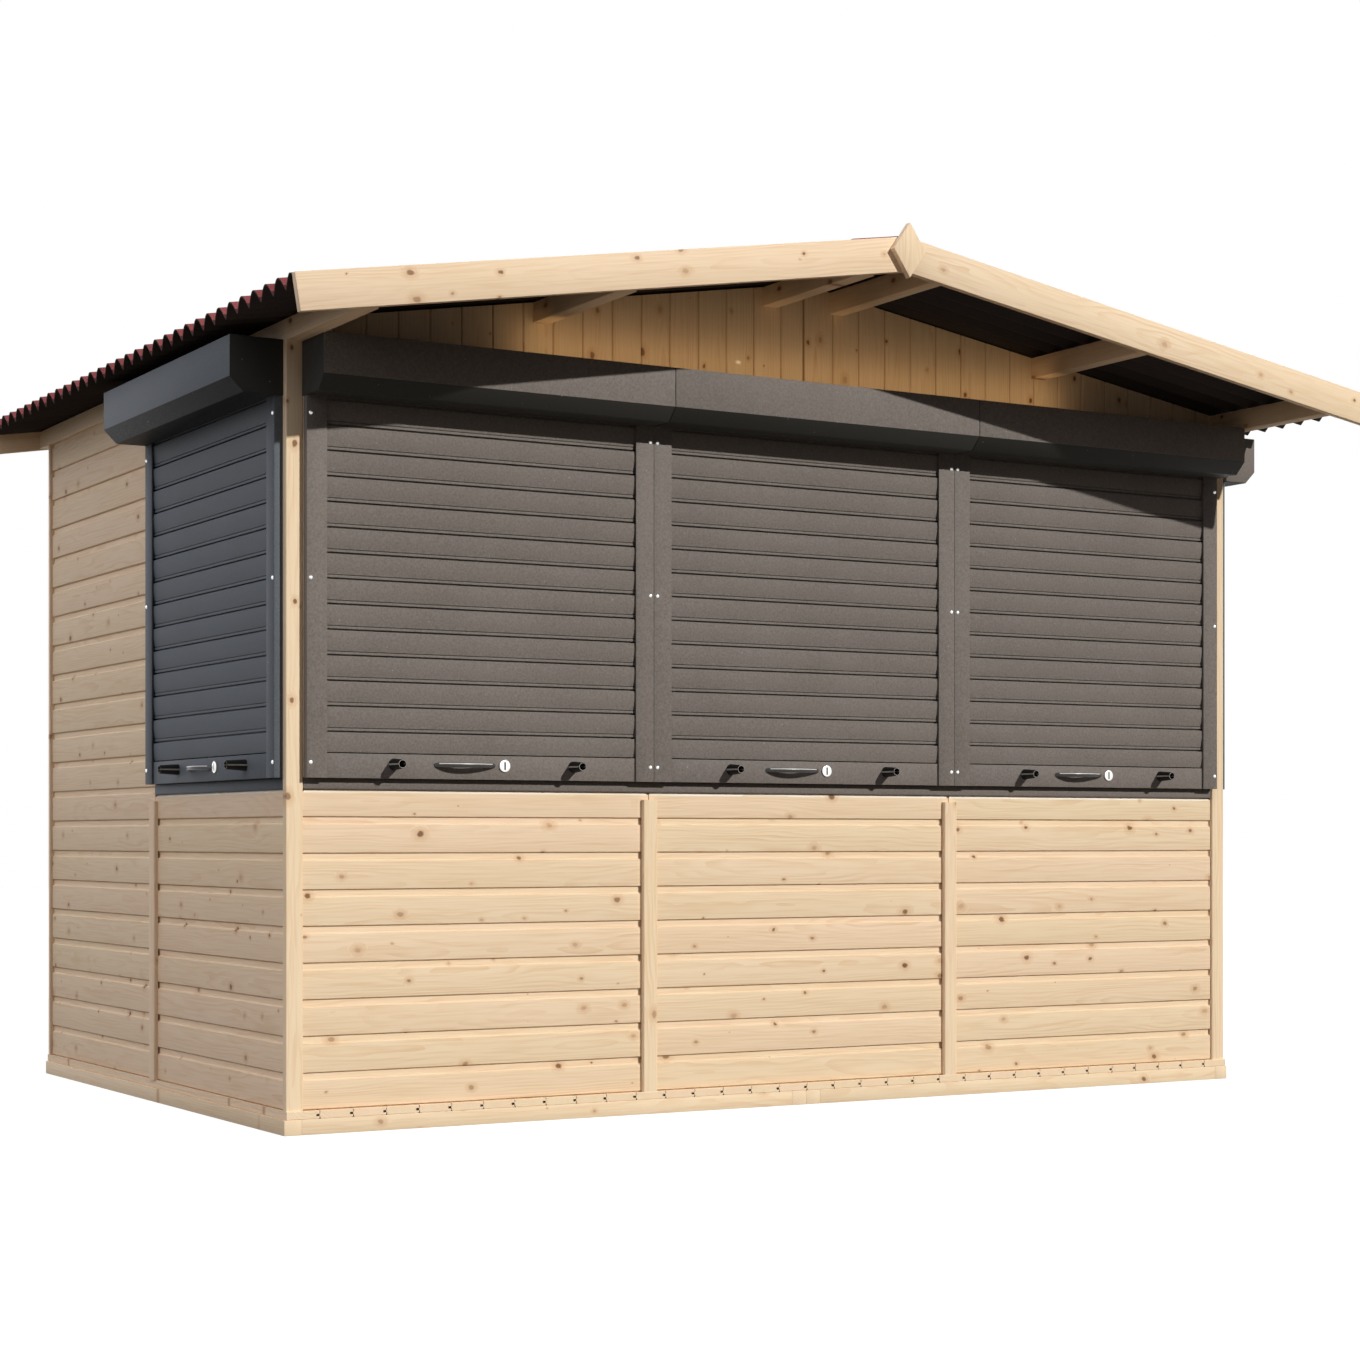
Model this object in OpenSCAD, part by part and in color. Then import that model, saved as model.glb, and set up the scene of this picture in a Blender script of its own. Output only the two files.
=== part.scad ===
// Wooden market hut: boarded panels on a two-part floor, roller shutters on three
// sides, and a low gable roof of corrugated sheets on purlins. Millimetres, +Z up,
// front towards -Y. The origin is under the middle of the whole hut, on the ground.

/* [Base] */
// Width of the base along the front
base_w = 2994; // [2700:1:3600]
// Depth of the base from front to back
base_d = 1951; // [1700:1:2400]
// Height of the floor joists
joist_h = 38; // [30:1:80]
// Thickness of the floor joists
joist_t = 45; // [30:1:70]
// Cross joists in each half of the floor
cross_joists = 7; // [5:1:9]
// Thickness of the floor deck
deck_t = 20; // [15:1:30]
// Step of the deck's edge in from the side joists
deck_inset = 6; // [0:1:12]

/* [Walls] */
// Height of the boarded apron under the shutters
apron_h = 778; // [600:1:900]
// Chamfer along the apron's top edge
apron_chamfer = 7; // [3:1:12]
// Step of the corner trims in from the base's faces
frame_inset = 6; // [2:1:12]
// Step of the boards in from the base's faces
board_inset = 13; // [8:1:20]
// Width of a corner trim
trim_w = 45; // [35:1:60]
// Thickness of a corner trim
trim_t = 19; // [14:1:30]
// Width of the rounded strips that cover the panel joints
strip_w = 42; // [30:1:60]
// Thickness of the joint strips
strip_t = 12; // [6:1:12]
// Gap between a joint strip's top and the apron's top
strip_drop = 18; // [10:1:60]
// Rounding of the trims' and strips' long edges
edge_round = 4; // [1:0.5:5]

/* [Back door] */
// Height of the doorway above the deck
door_h = 1790; // [1650:1:2100]
// Height of the wall over the doorway
lintel_h = 70; // [40:1:200]
// Gap all round the door leaf
door_gap = 3; // [1:0.5:6]
// Width of a hinge leaf along the door
hinge_l = 120; // [60:1:200]
// Height of a hinge leaf
hinge_h = 34; // [20:1:60]
// Thickness of a hinge leaf
hinge_t = 3; // [2:0.5:5]
// Height of the door's pull above the deck
pull_height = 960; // [800:1:1100]
// Distance of the door's pull from the leaf's free edge
pull_inset = 70; // [50:1:150]

/* [Shutters] */
// Width of a shutter guide
guide_w = 53; // [40:1:70]
// Depth of a shutter guide
guide_d = 22; // [18:1:30]
// Depth of the groove in a guide
guide_groove_d = 30; // [15:1:35]
// Seam between two guides that stand side by side
guide_seam = 1; // [0.4:0.1:2]
// Height of the metal sill on the apron
sill_h = 30; // [20:1:40]
// Distance of the metal sill's face from the base's edge
sill_inset = 10; // [8:1:24]
// Height of the guides' and shutters' lower ends above the apron
shutter_lift = 28; // [20:1:40]
// Height of a shutter box
box_h = 135; // [110:1:170]
// Depth of a shutter box
box_d = 137; // [110:1:170]
// Chamfer along the lower front edge of a shutter box
box_chamfer = 35; // [15:1:50]
// Rise of the boxes' tops above the walls' tops
box_rise = 4; // [0:1:6]
// Lap of the box row onto the corner trims
box_lap = 4; // [0:1:10]
// Pitch of the shutter slats
slat_pitch = 62; // [40:1:80]
// Thickness of a slat at its middle
slat_t = 11; // [8:0.5:14]
// Bulge of a slat's face
slat_bulge = 3; // [1:0.5:4]
// Height of the groove between slats
slat_groove_h = 4; // [2:0.5:8]
// Depth of the groove between slats
slat_groove_d = 2.5; // [1:0.5:4]
// Height of the bottom bar
bar_h = 66; // [45:1:90]
// Clearance of a shutter in its guides
shutter_clear = 0.5; // [0.3:0.1:1]

/* [Shutter fittings] */
// Length of a rubber stop
stop_l = 52; // [40:1:90]
// Diameter of a rubber stop at its foot
stop_foot_d = 29; // [22:1:36]
// Diameter of a rubber stop at its open end
stop_end_d = 22; // [19:1:26]
// Bore of a rubber stop
stop_bore_d = 17; // [6:0.5:18]
// Depth of a rubber stop's bore
stop_bore_l = 35; // [10:1:38]
// Width of a pull handle
handle_w = 173; // [100:1:200]
// Reach of a pull handle
handle_reach = 30; // [20:1:45]
// Thickness of a pull handle's bow at its middle
handle_t = 9; // [6:1:14]
// Width of a pull handle's feet on the bar
handle_foot = 15; // [8:1:25]
// Height of a pull handle's bow
handle_h = 12; // [8:1:20]
// Diameter of a lock's round face
lock_d = 30; // [20:1:40]
// Thickness of a lock's face
lock_t = 4; // [3:0.5:8]
// Gap between a lock and the handle beside it
lock_gap = 9; // [5:1:40]
// Length of the key slot in a lock
lock_slot_l = 19; // [10:0.5:19]
// Width of the key slot
lock_slot_w = 3; // [2:0.5:5]
// Depth of the key slot
lock_slot_d = 2; // [1:0.5:2.5]

/* [Roof] */
// Slope of the roof, in degrees
roof_pitch = 9.3; // [6:0.1:16]
// Width of a purlin
purlin_w = 45; // [35:1:70]
// Height of a purlin
purlin_h = 55; // [40:1:90]
// Distance of a middle purlin from the ridge
middle_purlin_x = 797; // [600:1:1000]
// Distance of a ridge purlin from the ridge
ridge_purlin_x = 107; // [60:1:200]
// Reach of the roof beyond the base at each side
eave_reach = 160; // [100:1:300]
// Reach of the roof beyond the base's front
front_reach = 464; // [200:1:700]
// Reach of the roof beyond the base's back
back_reach = 105; // [60:1:400]
// Pitch of the roof sheets' waves
wave_pitch = 76; // [60:1:100]
// Height of the roof sheets' waves
wave_h = 33; // [20:1:45]
// Thickness of the roof sheets
sheet_t = 3; // [2:0.5:5]
// Gap between the two roof slopes at the ridge
ridge_gap = 20; // [6:1:60]
// Width of each wing of the ridge cap
cap_w = 150; // [100:1:250]
// Thickness of the ridge cap
cap_t = 3; // [2:0.5:5]
// Width of a bargeboard
barge_w = 88; // [70:1:140]
// Thickness of a bargeboard
barge_t = 19; // [14:1:30]
// Width of a finial
finial_w = 99; // [60:1:160]
// Height of a finial
finial_h = 141; // [90:1:220]
// Thickness of a finial
finial_t = 18; // [12:1:30]
// Drop of a finial's middle below the bargeboards' peak
finial_drop = 38; // [20:1:60]

/* [Hidden] */
$fn = 32;

// Colours of the finishes
wood_colour = "#EBD0AE";
metal_colour = "#6B6460";
sheet_colour = "#5A2420";
rubber_colour = "#1B1B1B";
lock_colour = "#D8D8D6";
steel_colour = "#9A9A98";

// Cuts run past the faces that they open by this much
overrun = 5;
// Bays along the front and along each side
front_bays = 3;
side_bays = 2;
// Flat steps that make one wave of a roof sheet
wave_steps = 8;
// Flat steps round a handle's arc in the preview
bow_steps = 180;
// Clearance of the gable panels round the purlins
notch_clear = 0.3;
// Depth of the slot that takes a shutter's edge beyond the shutter
groove_spare = 5;
// Heights of the door hinges as shares of the door's height
hinge_shares = [0.12, 0.5, 0.88];
// Stations down a slat's face, as shares of its height
slat_shares = [0, 0.2, 0.4, 0.6, 0.8, 1];
// Places along a front shutter of its stops and handle, as shares of a bay
front_stop_shares = [0.24, 0.757];
front_handle_share = 0.439;
// Shift of each front shutter's fittings to the right, as shares of a bay
front_shift_shares = [0, 0.0065, 0.02];
// Places along a side shutter of its stops and handle, as shares of a bay
side_stop_shares = [0.261, 0.781];
side_handle_share = 0.441;
// Rise of the fittings above the bottom bar's middle, as a share of its height
fitting_rise_share = 0.03;

// Walls and bays
wall_t = frame_inset + trim_w - board_inset;
stud_t = trim_w;
floor_z = joist_h + deck_t;
wall_h = door_h + lintel_h;
wall_top = floor_z + wall_h;
apron_top = floor_z + apron_h;
bay_x0 = frame_inset + trim_w;
bay_w = (base_w - 2 * bay_x0) / front_bays;
bay_y0 = frame_inset + trim_t;
bay_d = (base_d - 2 * bay_y0) / side_bays;
back_face = base_d - board_inset;

// Shutters
box_top = wall_top + box_rise;
box_z = box_top - box_h;
shutter_z = apron_top + shutter_lift;
bar_top = shutter_z + bar_h;
slats = ceil((box_z - bar_top) / slat_pitch);
groove_w = slat_t + 2 * shutter_clear;
curtain_back = -(guide_d - groove_w) / 2 - shutter_clear;
curtain_reach = guide_groove_d - groove_spare;
fitting_z = shutter_z + (1 / 2 + fitting_rise_share) * bar_h;
groove_x = slat_bulge + slat_groove_d - slat_t;
lock_offset = handle_w / 2 + lock_gap + lock_d / 2;
front_box_l = bay_w + 2 * box_lap / front_bays;

// Roof
ridge_x = base_w / 2;
rise = tan(roof_pitch);
eave_purlin_x = ridge_x - frame_inset - purlin_w / 2;
roof_front = -front_reach + barge_t;
roof_back = base_d + back_reach - barge_t;
roof_len = roof_back - roof_front;
sheet_total = (wave_h + sheet_t) / cos(roof_pitch);
slope_len = (ridge_x + eave_reach - ridge_gap / 2) / cos(roof_pitch);
wave_step = wave_pitch / wave_steps;
mid_y = (base_d + back_reach + finial_t - front_reach - finial_t) / 2;

// Height of the purlins' undersides and tops at a distance from the ridge
function purlin_low(u) = wall_top + (eave_purlin_x - u) * rise;
function purlin_top(u) = purlin_low(u) + purlin_h;

// Puts the hut's own corner frame under the middle of the whole hut
module placed() {
    translate([-ridge_x, -mid_y, 0]) children();
}

// A piece and its mirror image on the other side of the ridge
module on_right() {
    translate([base_w, 0, 0]) mirror([1, 0, 0]) children();
}

// Each bay has its own frame: x runs along the wall seen from outside, y into the hut
module on_front_bay(i) {
    translate([bay_x0 + i * bay_w, 0, 0]) children();
}

module on_left_bay() {
    translate([0, bay_y0 + bay_d, 0]) rotate([0, 0, -90]) children();
}

module on_right_bay() {
    translate([base_w, bay_y0, 0]) rotate([0, 0, 90]) children();
}

module on_side_bays() {
    on_left_bay() children();
    on_right_bay() children();
}

// A plain board or beam between two corners
module beam(from, to) {
    translate(from) cube(to - from);
}

// A profile drawn in depth and height, run along x
module along_x(length) {
    rotate([90, 0, 90]) linear_extrude(length) children();
}

// A profile drawn in width and height, run towards +y from y
module along_y(y, length) {
    translate([0, y + length, 0]) rotate([90, 0, 0]) linear_extrude(length) children();
}

// Half of the floor frame: two runners with cross joists between them
module base_frame(x0) {
    w = base_w / 2;
    spacing = (base_d - joist_t) / (cross_joists - 1);
    beam([x0, 0, 0], [x0 + joist_t, base_d, joist_h]);
    beam([x0 + w - joist_t, 0, 0], [x0 + w, base_d, joist_h]);
    for (i = [0:cross_joists - 1])
        beam([x0 + joist_t / 2, i * spacing, 0], [x0 + w - joist_t / 2, i * spacing + joist_t, joist_h]);
}

module base_frame_left() { color(wood_colour) placed() base_frame(0); }
module base_frame_right() { color(wood_colour) placed() base_frame(base_w / 2); }

module floor_deck() {
    color(wood_colour) placed()
        beam([deck_inset, 0, joist_h], [base_w - deck_inset, base_d, floor_z]);
}

// Apron's section: a wall slab whose top outer edge is chamfered
module apron_section() {
    polygon([[0, floor_z], [wall_t, floor_z], [wall_t, apron_top], [apron_chamfer, apron_top],
        [0, apron_top - apron_chamfer]]);
}

module apron(w) {
    translate([0, board_inset, 0]) along_x(w) apron_section();
}

module front_apron_left() { color(wood_colour) placed() on_front_bay(0) apron(bay_w); }
module front_apron_middle() { color(wood_colour) placed() on_front_bay(1) apron(bay_w); }
module front_apron_right() { color(wood_colour) placed() on_front_bay(2) apron(bay_w); }
module side_aprons() { color(wood_colour) placed() on_side_bays() apron(bay_d); }

module rear_wall() {
    beam([board_inset, bay_y0 + bay_d, floor_z], [board_inset + wall_t, base_d - bay_y0, wall_top]);
}

module left_rear_wall() { color(wood_colour) placed() rear_wall(); }
module right_rear_wall() { color(wood_colour) placed() on_right() rear_wall(); }

// Slab in the plane of the back wall
module back_slab(x0, x1, z0, z1) {
    beam([x0, back_face - wall_t, z0], [x1, back_face, z1]);
}

module back_wall() {
    on_front_bay(0) back_slab(0, bay_w, floor_z, wall_top);
}

module back_wall_left() { color(wood_colour) placed() back_wall(); }
module back_wall_right() { color(wood_colour) placed() on_right() back_wall(); }

module back_lintel() {
    color(wood_colour) placed() on_front_bay(1) back_slab(0, bay_w, floor_z + door_h, wall_top);
}

module back_door() {
    color(wood_colour) placed() on_front_bay(1)
        back_slab(door_gap, bay_w - door_gap, floor_z + door_gap, floor_z + door_h - door_gap);
}

// Flat hinge across the joint between the door and the wall, with its knuckle
module hinge(z) {
    joint_x = door_gap / 2;
    translate([0, back_face, z - hinge_h / 2]) {
        beam([joint_x - hinge_h, 0, 0], [joint_x + hinge_l, hinge_t, hinge_h]);
        translate([joint_x, hinge_t, 0]) cylinder(h = hinge_h, d = 2 * hinge_t);
    }
}

module door_hinges() {
    color(steel_colour) placed() on_front_bay(1)
        for (s = hinge_shares) hinge(floor_z + s * door_h);
}

// Board section with two rounded long edges on its outer face
module rounded_section(w, t) {
    hull() {
        translate([0, edge_round]) square([w, t - edge_round]);
        for (x = [edge_round, w - edge_round]) translate([x, edge_round]) circle(r = edge_round);
    }
}

module upright(x0, y0, z0, w, t, h) {
    translate([x0, y0, z0]) linear_extrude(h) rounded_section(w, t);
}

module trim_pair() {
    upright(frame_inset, frame_inset, floor_z, trim_w, trim_t, wall_h);
    translate([0, base_d, 0]) mirror([0, 1, 0])
        upright(frame_inset, frame_inset, floor_z, trim_w, trim_t, wall_h);
}

module corner_trims() {
    color(wood_colour) placed() {
        trim_pair();
        on_right() trim_pair();
    }
}

module cover_strip(x) {
    upright(x - strip_w / 2, board_inset - strip_t, floor_z, strip_w, strip_t, apron_h - strip_drop);
}

module cover_strips() {
    color(wood_colour) placed() {
        for (i = [1:front_bays - 1]) on_front_bay(i) cover_strip(0);
        on_left_bay() cover_strip(0);
        on_right_bay() cover_strip(bay_d);
    }
}

// Upright behind the shutter guides, from the sill to the header
module stud(x0) {
    beam([x0, frame_inset, apron_top + sill_h], [x0 + stud_t, frame_inset + stud_t, box_z]);
}

module stud_pair(w) {
    stud(0);
    stud(w - stud_t);
}

module front_studs() {
    color(wood_colour) placed()
        for (i = [0:front_bays - 1]) on_front_bay(i) stud_pair(bay_w);
}

module side_studs() { color(wood_colour) placed() on_side_bays() stud_pair(bay_d); }

// Beam over a row of shutters, which carries the boxes
module header(length) {
    beam([0, frame_inset, box_z], [length, frame_inset + stud_t, wall_top]);
}

module front_header() { color(wood_colour) placed() on_front_bay(0) header(front_bays * bay_w); }
module side_headers() { color(wood_colour) placed() on_side_bays() header(bay_d); }

// Upright beam whose top follows the roof's slope
module purlin_section(u, grow) {
    x = ridge_x - u;
    half = purlin_w / 2 + grow;
    polygon([[x - half, purlin_low(u) - grow], [x + half, purlin_low(u) - grow],
        [x + half, purlin_top(u - half)], [x - half, purlin_top(u + half)]]);
}

module purlin_sections(grow) {
    for (u = [middle_purlin_x, ridge_purlin_x]) purlin_section(u, grow);
}

// Gable over the whole width, notched round the purlins
module gable_section() {
    edge_z = purlin_top(ridge_x - bay_x0);
    difference() {
        polygon([[bay_x0, wall_top], [base_w - bay_x0, wall_top], [base_w - bay_x0, edge_z],
            [ridge_x, purlin_top(0)], [bay_x0, edge_z]]);
        purlin_sections(notch_clear);
        on_right() purlin_sections(notch_clear);
    }
}

// Half of a gable, up to the seam under the ridge
module gable_half_section() {
    intersection() {
        gable_section();
        square([ridge_x, purlin_top(0)]);
    }
}

module front_gable_left() {
    color(wood_colour) placed() along_y(board_inset, wall_t) gable_half_section();
}
module front_gable_right() {
    color(wood_colour) placed() on_right() along_y(board_inset, wall_t) gable_half_section();
}
module back_gable() {
    color(wood_colour) placed() along_y(back_face - wall_t, wall_t) gable_section();
}

module purlin_row() {
    along_y(roof_front, roof_len) {
        purlin_section(eave_purlin_x, 0);
        purlin_sections(0);
    }
}

module purlins() {
    color(wood_colour) placed() {
        purlin_row();
        on_right() purlin_row();
    }
}

// Height of a wave at a place along the eave
function wave_z(y) = wave_h / 2 * (1 + cos(360 * (y - wave_step) / wave_pitch));

// Corrugated section, one edge along the front bargeboard
module sheet_section() {
    ys = [for (i = [0:floor(roof_len / wave_step)]) i * wave_step];
    stations = ys[len(ys) - 1] < roof_len ? concat(ys, [roof_len]) : ys;
    last = len(stations) - 1;
    polygon(concat([for (y = stations) [y, wave_z(y)]],
        [for (i = [0:last]) [stations[last - i], wave_z(stations[last - i]) + sheet_t]]));
}

module roof_sheet() {
    translate([-eave_reach, roof_front, purlin_top(ridge_x + eave_reach)])
        rotate([0, -roof_pitch, 0]) along_x(slope_len) sheet_section();
}

module roof_sheet_left() { color(sheet_colour) placed() roof_sheet(); }
module roof_sheet_right() { color(sheet_colour) placed() on_right() roof_sheet(); }

module ridge_cap() {
    crest_top = purlin_top(0) + sheet_total;
    drop = cap_w * rise;
    skin = cap_t / cos(roof_pitch);
    color(sheet_colour) placed() along_y(roof_front, roof_len)
        polygon([[ridge_x - cap_w, crest_top - drop], [ridge_x, crest_top],
            [ridge_x + cap_w, crest_top - drop], [ridge_x + cap_w, crest_top - drop + skin],
            [ridge_x, crest_top + skin], [ridge_x - cap_w, crest_top - drop + skin]]);
}

// Left bargeboard: plumb cut at the peak and square cut at the eave
module barge_section() {
    upright_w = barge_w / cos(roof_pitch);
    eave_top = purlin_low(ridge_x + eave_reach) + upright_w;
    polygon([[ridge_x, purlin_low(0)], [ridge_x, purlin_low(0) + upright_w], [-eave_reach, eave_top],
        [-eave_reach + barge_w * sin(roof_pitch), eave_top - barge_w * cos(roof_pitch)]]);
}

module bargeboard_pair() {
    along_y(-front_reach, barge_t) barge_section();
    along_y(roof_back, barge_t) barge_section();
}

module left_bargeboards() { color(wood_colour) placed() bargeboard_pair(); }
module right_bargeboards() { color(wood_colour) placed() on_right() bargeboard_pair(); }

// Diamond plate over the bargeboards' joint
module finial_section() {
    z = purlin_low(0) + barge_w / cos(roof_pitch) - finial_drop;
    polygon([[ridge_x, z - finial_h / 2], [ridge_x + finial_w / 2, z], [ridge_x, z + finial_h / 2],
        [ridge_x - finial_w / 2, z]]);
}

module finials() {
    color(wood_colour) placed() {
        along_y(-front_reach - finial_t, finial_t) finial_section();
        along_y(roof_back + barge_t, finial_t) finial_section();
    }
}

module sill(length) {
    beam([0, sill_inset, apron_top], [length, board_inset + wall_t, apron_top + sill_h]);
}

module front_sill() { color(metal_colour) placed() on_front_bay(0) sill(front_bays * bay_w); }
module side_sills() { color(metal_colour) placed() on_side_bays() sill(bay_d); }

// Guide whose groove is open towards +x
module guide() {
    translate([0, frame_inset - guide_d, shutter_z]) difference() {
        cube([guide_w - guide_seam / 2, guide_d, box_z - shutter_z]);
        translate([guide_w - guide_seam / 2 - guide_groove_d, (guide_d - groove_w) / 2, -overrun])
            cube([guide_groove_d + overrun, groove_w, box_z - shutter_z + 2 * overrun]);
    }
}

module guide_pair(w) {
    translate([guide_seam / 2, 0, 0]) guide();
    translate([w - guide_seam / 2, 0, 0]) mirror([1, 0, 0]) guide();
}

module front_guides() {
    color(metal_colour) placed()
        for (i = [0:front_bays - 1]) on_front_bay(i) guide_pair(bay_w);
}

module side_guides() { color(metal_colour) placed() on_side_bays() guide_pair(bay_d); }

module box_section() {
    polygon([[0, box_z], [0, box_top], [-box_d, box_top], [-box_d, box_z + box_chamfer],
        [-box_d + box_chamfer, box_z]]);
}

// Shutter box from x0 on, with the pocket that the slats of a bay of width w rise into
module shutter_box(x0, length, w) {
    pocket_x0 = guide_w - guide_groove_d;
    difference() {
        translate([x0, frame_inset, 0]) along_x(length) box_section();
        translate([pocket_x0, frame_inset + curtain_back - slat_t - shutter_clear, box_z - overrun])
            cube([w - 2 * pocket_x0, groove_w, slat_pitch + overrun]);
    }
}

// The front boxes share the row's length, which laps onto both corner trims
module front_box(i) {
    on_front_bay(i) shutter_box(i * (front_box_l - bay_w) - box_lap, front_box_l, bay_w);
}

module front_box_left() { color(metal_colour) placed() front_box(0); }
module front_box_middle() { color(metal_colour) placed() front_box(1); }
module front_box_right() { color(metal_colour) placed() front_box(2); }

module side_boxes() {
    color(metal_colour) placed() on_side_bays() shutter_box(-box_lap, bay_d + 2 * box_lap, bay_d);
}

// Face of one slat and the groove above it, from its lower edge up
function slat_face(z) = concat(
    [for (s = slat_shares) [slat_bulge * pow(2 * s - 1, 2) - slat_t, z + s * (slat_pitch - slat_groove_h)]],
    [[groove_x, z + slat_pitch - slat_groove_h], [groove_x, z + slat_pitch]]);

// Bottom bar and slats, hung as one curtain
module curtain_section() {
    faces = [for (i = [0:slats - 1]) each slat_face(bar_top + i * slat_pitch)];
    bar = [[0, shutter_z], [-slat_t, shutter_z], [-slat_t, bar_top - slat_groove_h],
        [groove_x, bar_top - slat_groove_h], [groove_x, bar_top]];
    polygon(concat(bar, faces, [[0, bar_top + slats * slat_pitch]]));
}

module curtain(w) {
    edge = guide_w - curtain_reach;
    translate([edge, frame_inset + curtain_back, 0]) along_x(w - 2 * edge) curtain_section();
}

module front_curtain_left() { color(metal_colour) placed() on_front_bay(0) curtain(bay_w); }
module front_curtain_middle() { color(metal_colour) placed() on_front_bay(1) curtain(bay_w); }
module front_curtain_right() { color(metal_colour) placed() on_front_bay(2) curtain(bay_w); }
module side_curtains() { color(metal_colour) placed() on_side_bays() curtain(bay_d); }

// Puts a fitting on a bottom bar's face, with its own z pointing outwards
module on_bar(x) {
    translate([x, frame_inset + curtain_back - slat_t, fitting_z]) rotate([90, 0, 0]) children();
}

// Puts a fitting on the bottom bar of a front bay, at a share of the bay
module on_front_bar(i, share) {
    on_front_bay(i) on_bar((share + front_shift_shares[i % len(front_shift_shares)]) * bay_w) children();
}

// Puts a fitting on the door's outer face, turned upright
module on_door() {
    translate([bay_x0 + 2 * bay_w - door_gap - pull_inset, back_face, floor_z + pull_height])
        rotate([-90, -90, 0]) children();
}

// Disc whose arc rises by reach over a chord of width w
module bow_disc(w, reach, thick) {
    radius = (pow(w / 2, 2) + pow(reach, 2)) / (2 * reach);
    translate([0, thick / 2, reach - radius]) rotate([90, 0, 0])
        cylinder(h = thick, r = radius, $fn = bow_steps);
}

// Bow that stands off its seat, thickest at its feet
module handle() {
    difference() {
        bow_disc(handle_w, handle_reach, handle_h);
        bow_disc(handle_w - 2 * handle_foot, handle_reach - handle_t, handle_h + overrun);
        translate([-handle_w, -handle_h, -handle_w * handle_w / handle_reach])
            cube([2 * handle_w, 2 * handle_h, handle_w * handle_w / handle_reach]);
    }
}

// Round lock face with an upright key slot
module lock() {
    difference() {
        cylinder(h = lock_t, d = lock_d);
        translate([-lock_slot_w / 2, -lock_slot_l / 2, lock_t - lock_slot_d])
            cube([lock_slot_w, lock_slot_l, lock_slot_d + overrun]);
    }
}

// Tapered rubber tube
module stop() {
    difference() {
        cylinder(h = stop_l, d1 = stop_foot_d, d2 = stop_end_d);
        translate([0, 0, stop_l - stop_bore_l]) cylinder(h = stop_bore_l + overrun, d = stop_bore_d);
    }
}

module pull_handles() {
    color(rubber_colour) placed() {
        for (i = [0:front_bays - 1]) on_front_bar(i, front_handle_share) handle();
        on_side_bays() on_bar(side_handle_share * bay_d) handle();
        on_door() handle();
    }
}

module locks() {
    color(lock_colour) placed() {
        for (i = [0:front_bays - 1]) on_front_bar(i, front_handle_share)
            translate([lock_offset, 0, 0]) lock();
        on_side_bays() on_bar(side_handle_share * bay_d + lock_offset) lock();
        on_door() translate([lock_offset, 0, 0]) rotate([0, 0, 90]) lock();
    }
}

module rubber_stops() {
    color(rubber_colour) placed() {
        for (i = [0:front_bays - 1], s = front_stop_shares) on_front_bar(i, s) stop();
        for (s = side_stop_shares) on_side_bays() on_bar(s * bay_d) stop();
    }
}

base_frame_left();
base_frame_right();
floor_deck();
front_apron_left();
front_apron_middle();
front_apron_right();
side_aprons();
left_rear_wall();
right_rear_wall();
back_wall_left();
back_wall_right();
back_lintel();
back_door();
door_hinges();
corner_trims();
cover_strips();
front_studs();
side_studs();
front_header();
side_headers();
front_gable_left();
front_gable_right();
back_gable();
purlins();
roof_sheet_left();
roof_sheet_right();
ridge_cap();
left_bargeboards();
right_bargeboards();
finials();
front_sill();
side_sills();
front_guides();
side_guides();
front_box_left();
front_box_middle();
front_box_right();
side_boxes();
front_curtain_left();
front_curtain_middle();
front_curtain_right();
side_curtains();
pull_handles();
locks();
rubber_stops();
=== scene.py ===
"""Wooden market hut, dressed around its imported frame: boarded spruce panels on a joisted floor,
roller shutters in powder-coated metal and a low roof of corrugated bitumen sheets.
Metres, +Z up, front towards -Y."""
import math
import random

import bmesh
import bpy
import numpy as np
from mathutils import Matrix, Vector


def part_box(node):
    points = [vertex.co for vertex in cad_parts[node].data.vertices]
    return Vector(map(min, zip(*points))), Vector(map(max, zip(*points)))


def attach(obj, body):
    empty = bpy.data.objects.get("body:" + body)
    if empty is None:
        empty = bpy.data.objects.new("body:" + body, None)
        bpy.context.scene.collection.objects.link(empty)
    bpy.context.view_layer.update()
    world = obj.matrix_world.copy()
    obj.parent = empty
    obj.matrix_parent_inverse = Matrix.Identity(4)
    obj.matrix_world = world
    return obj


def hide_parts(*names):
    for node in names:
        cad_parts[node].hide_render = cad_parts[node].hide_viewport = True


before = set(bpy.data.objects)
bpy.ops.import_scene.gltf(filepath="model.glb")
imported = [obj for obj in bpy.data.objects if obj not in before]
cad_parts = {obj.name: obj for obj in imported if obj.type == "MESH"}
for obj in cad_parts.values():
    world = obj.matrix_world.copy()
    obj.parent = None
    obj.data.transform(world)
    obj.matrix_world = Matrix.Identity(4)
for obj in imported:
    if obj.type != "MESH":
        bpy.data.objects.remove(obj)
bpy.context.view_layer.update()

MM = 0.001
NEAR = 0.05 * MM
WELD = 0.02 * MM
FLAT_ANGLE = math.radians(0.5)
SHARP_ANGLE = math.radians(35)
SMOOTH_ANGLE = math.radians(32)
SHEET_SMOOTH_ANGLE = math.radians(40)
X = Vector((1, 0, 0))
Y = Vector((0, 1, 0))
Z = Vector((0, 0, 1))

# Turns of the four walls' own frames: x runs along the wall seen from outside, y into the hut
FRONT = 0.0
LEFT = -math.pi / 2
RIGHT = math.pi / 2
BACK = math.pi

# Shares of a face's normal along an axis that tell its faces apart
SQUARE = 0.9
RIM_SQUARE = 0.99
END_GRAIN = 0.7
# Upward slopes of the top chamfer faces that get a painted highlight
TOP_HIGHLIGHT_SLOPE = (0.5, 0.9)
# Slopes of the pull bows' faces that get a painted highlight
BOW_HIGHLIGHT_SLOPE = (0.1, 0.6)
COVER_SLOPE = -0.3

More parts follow.
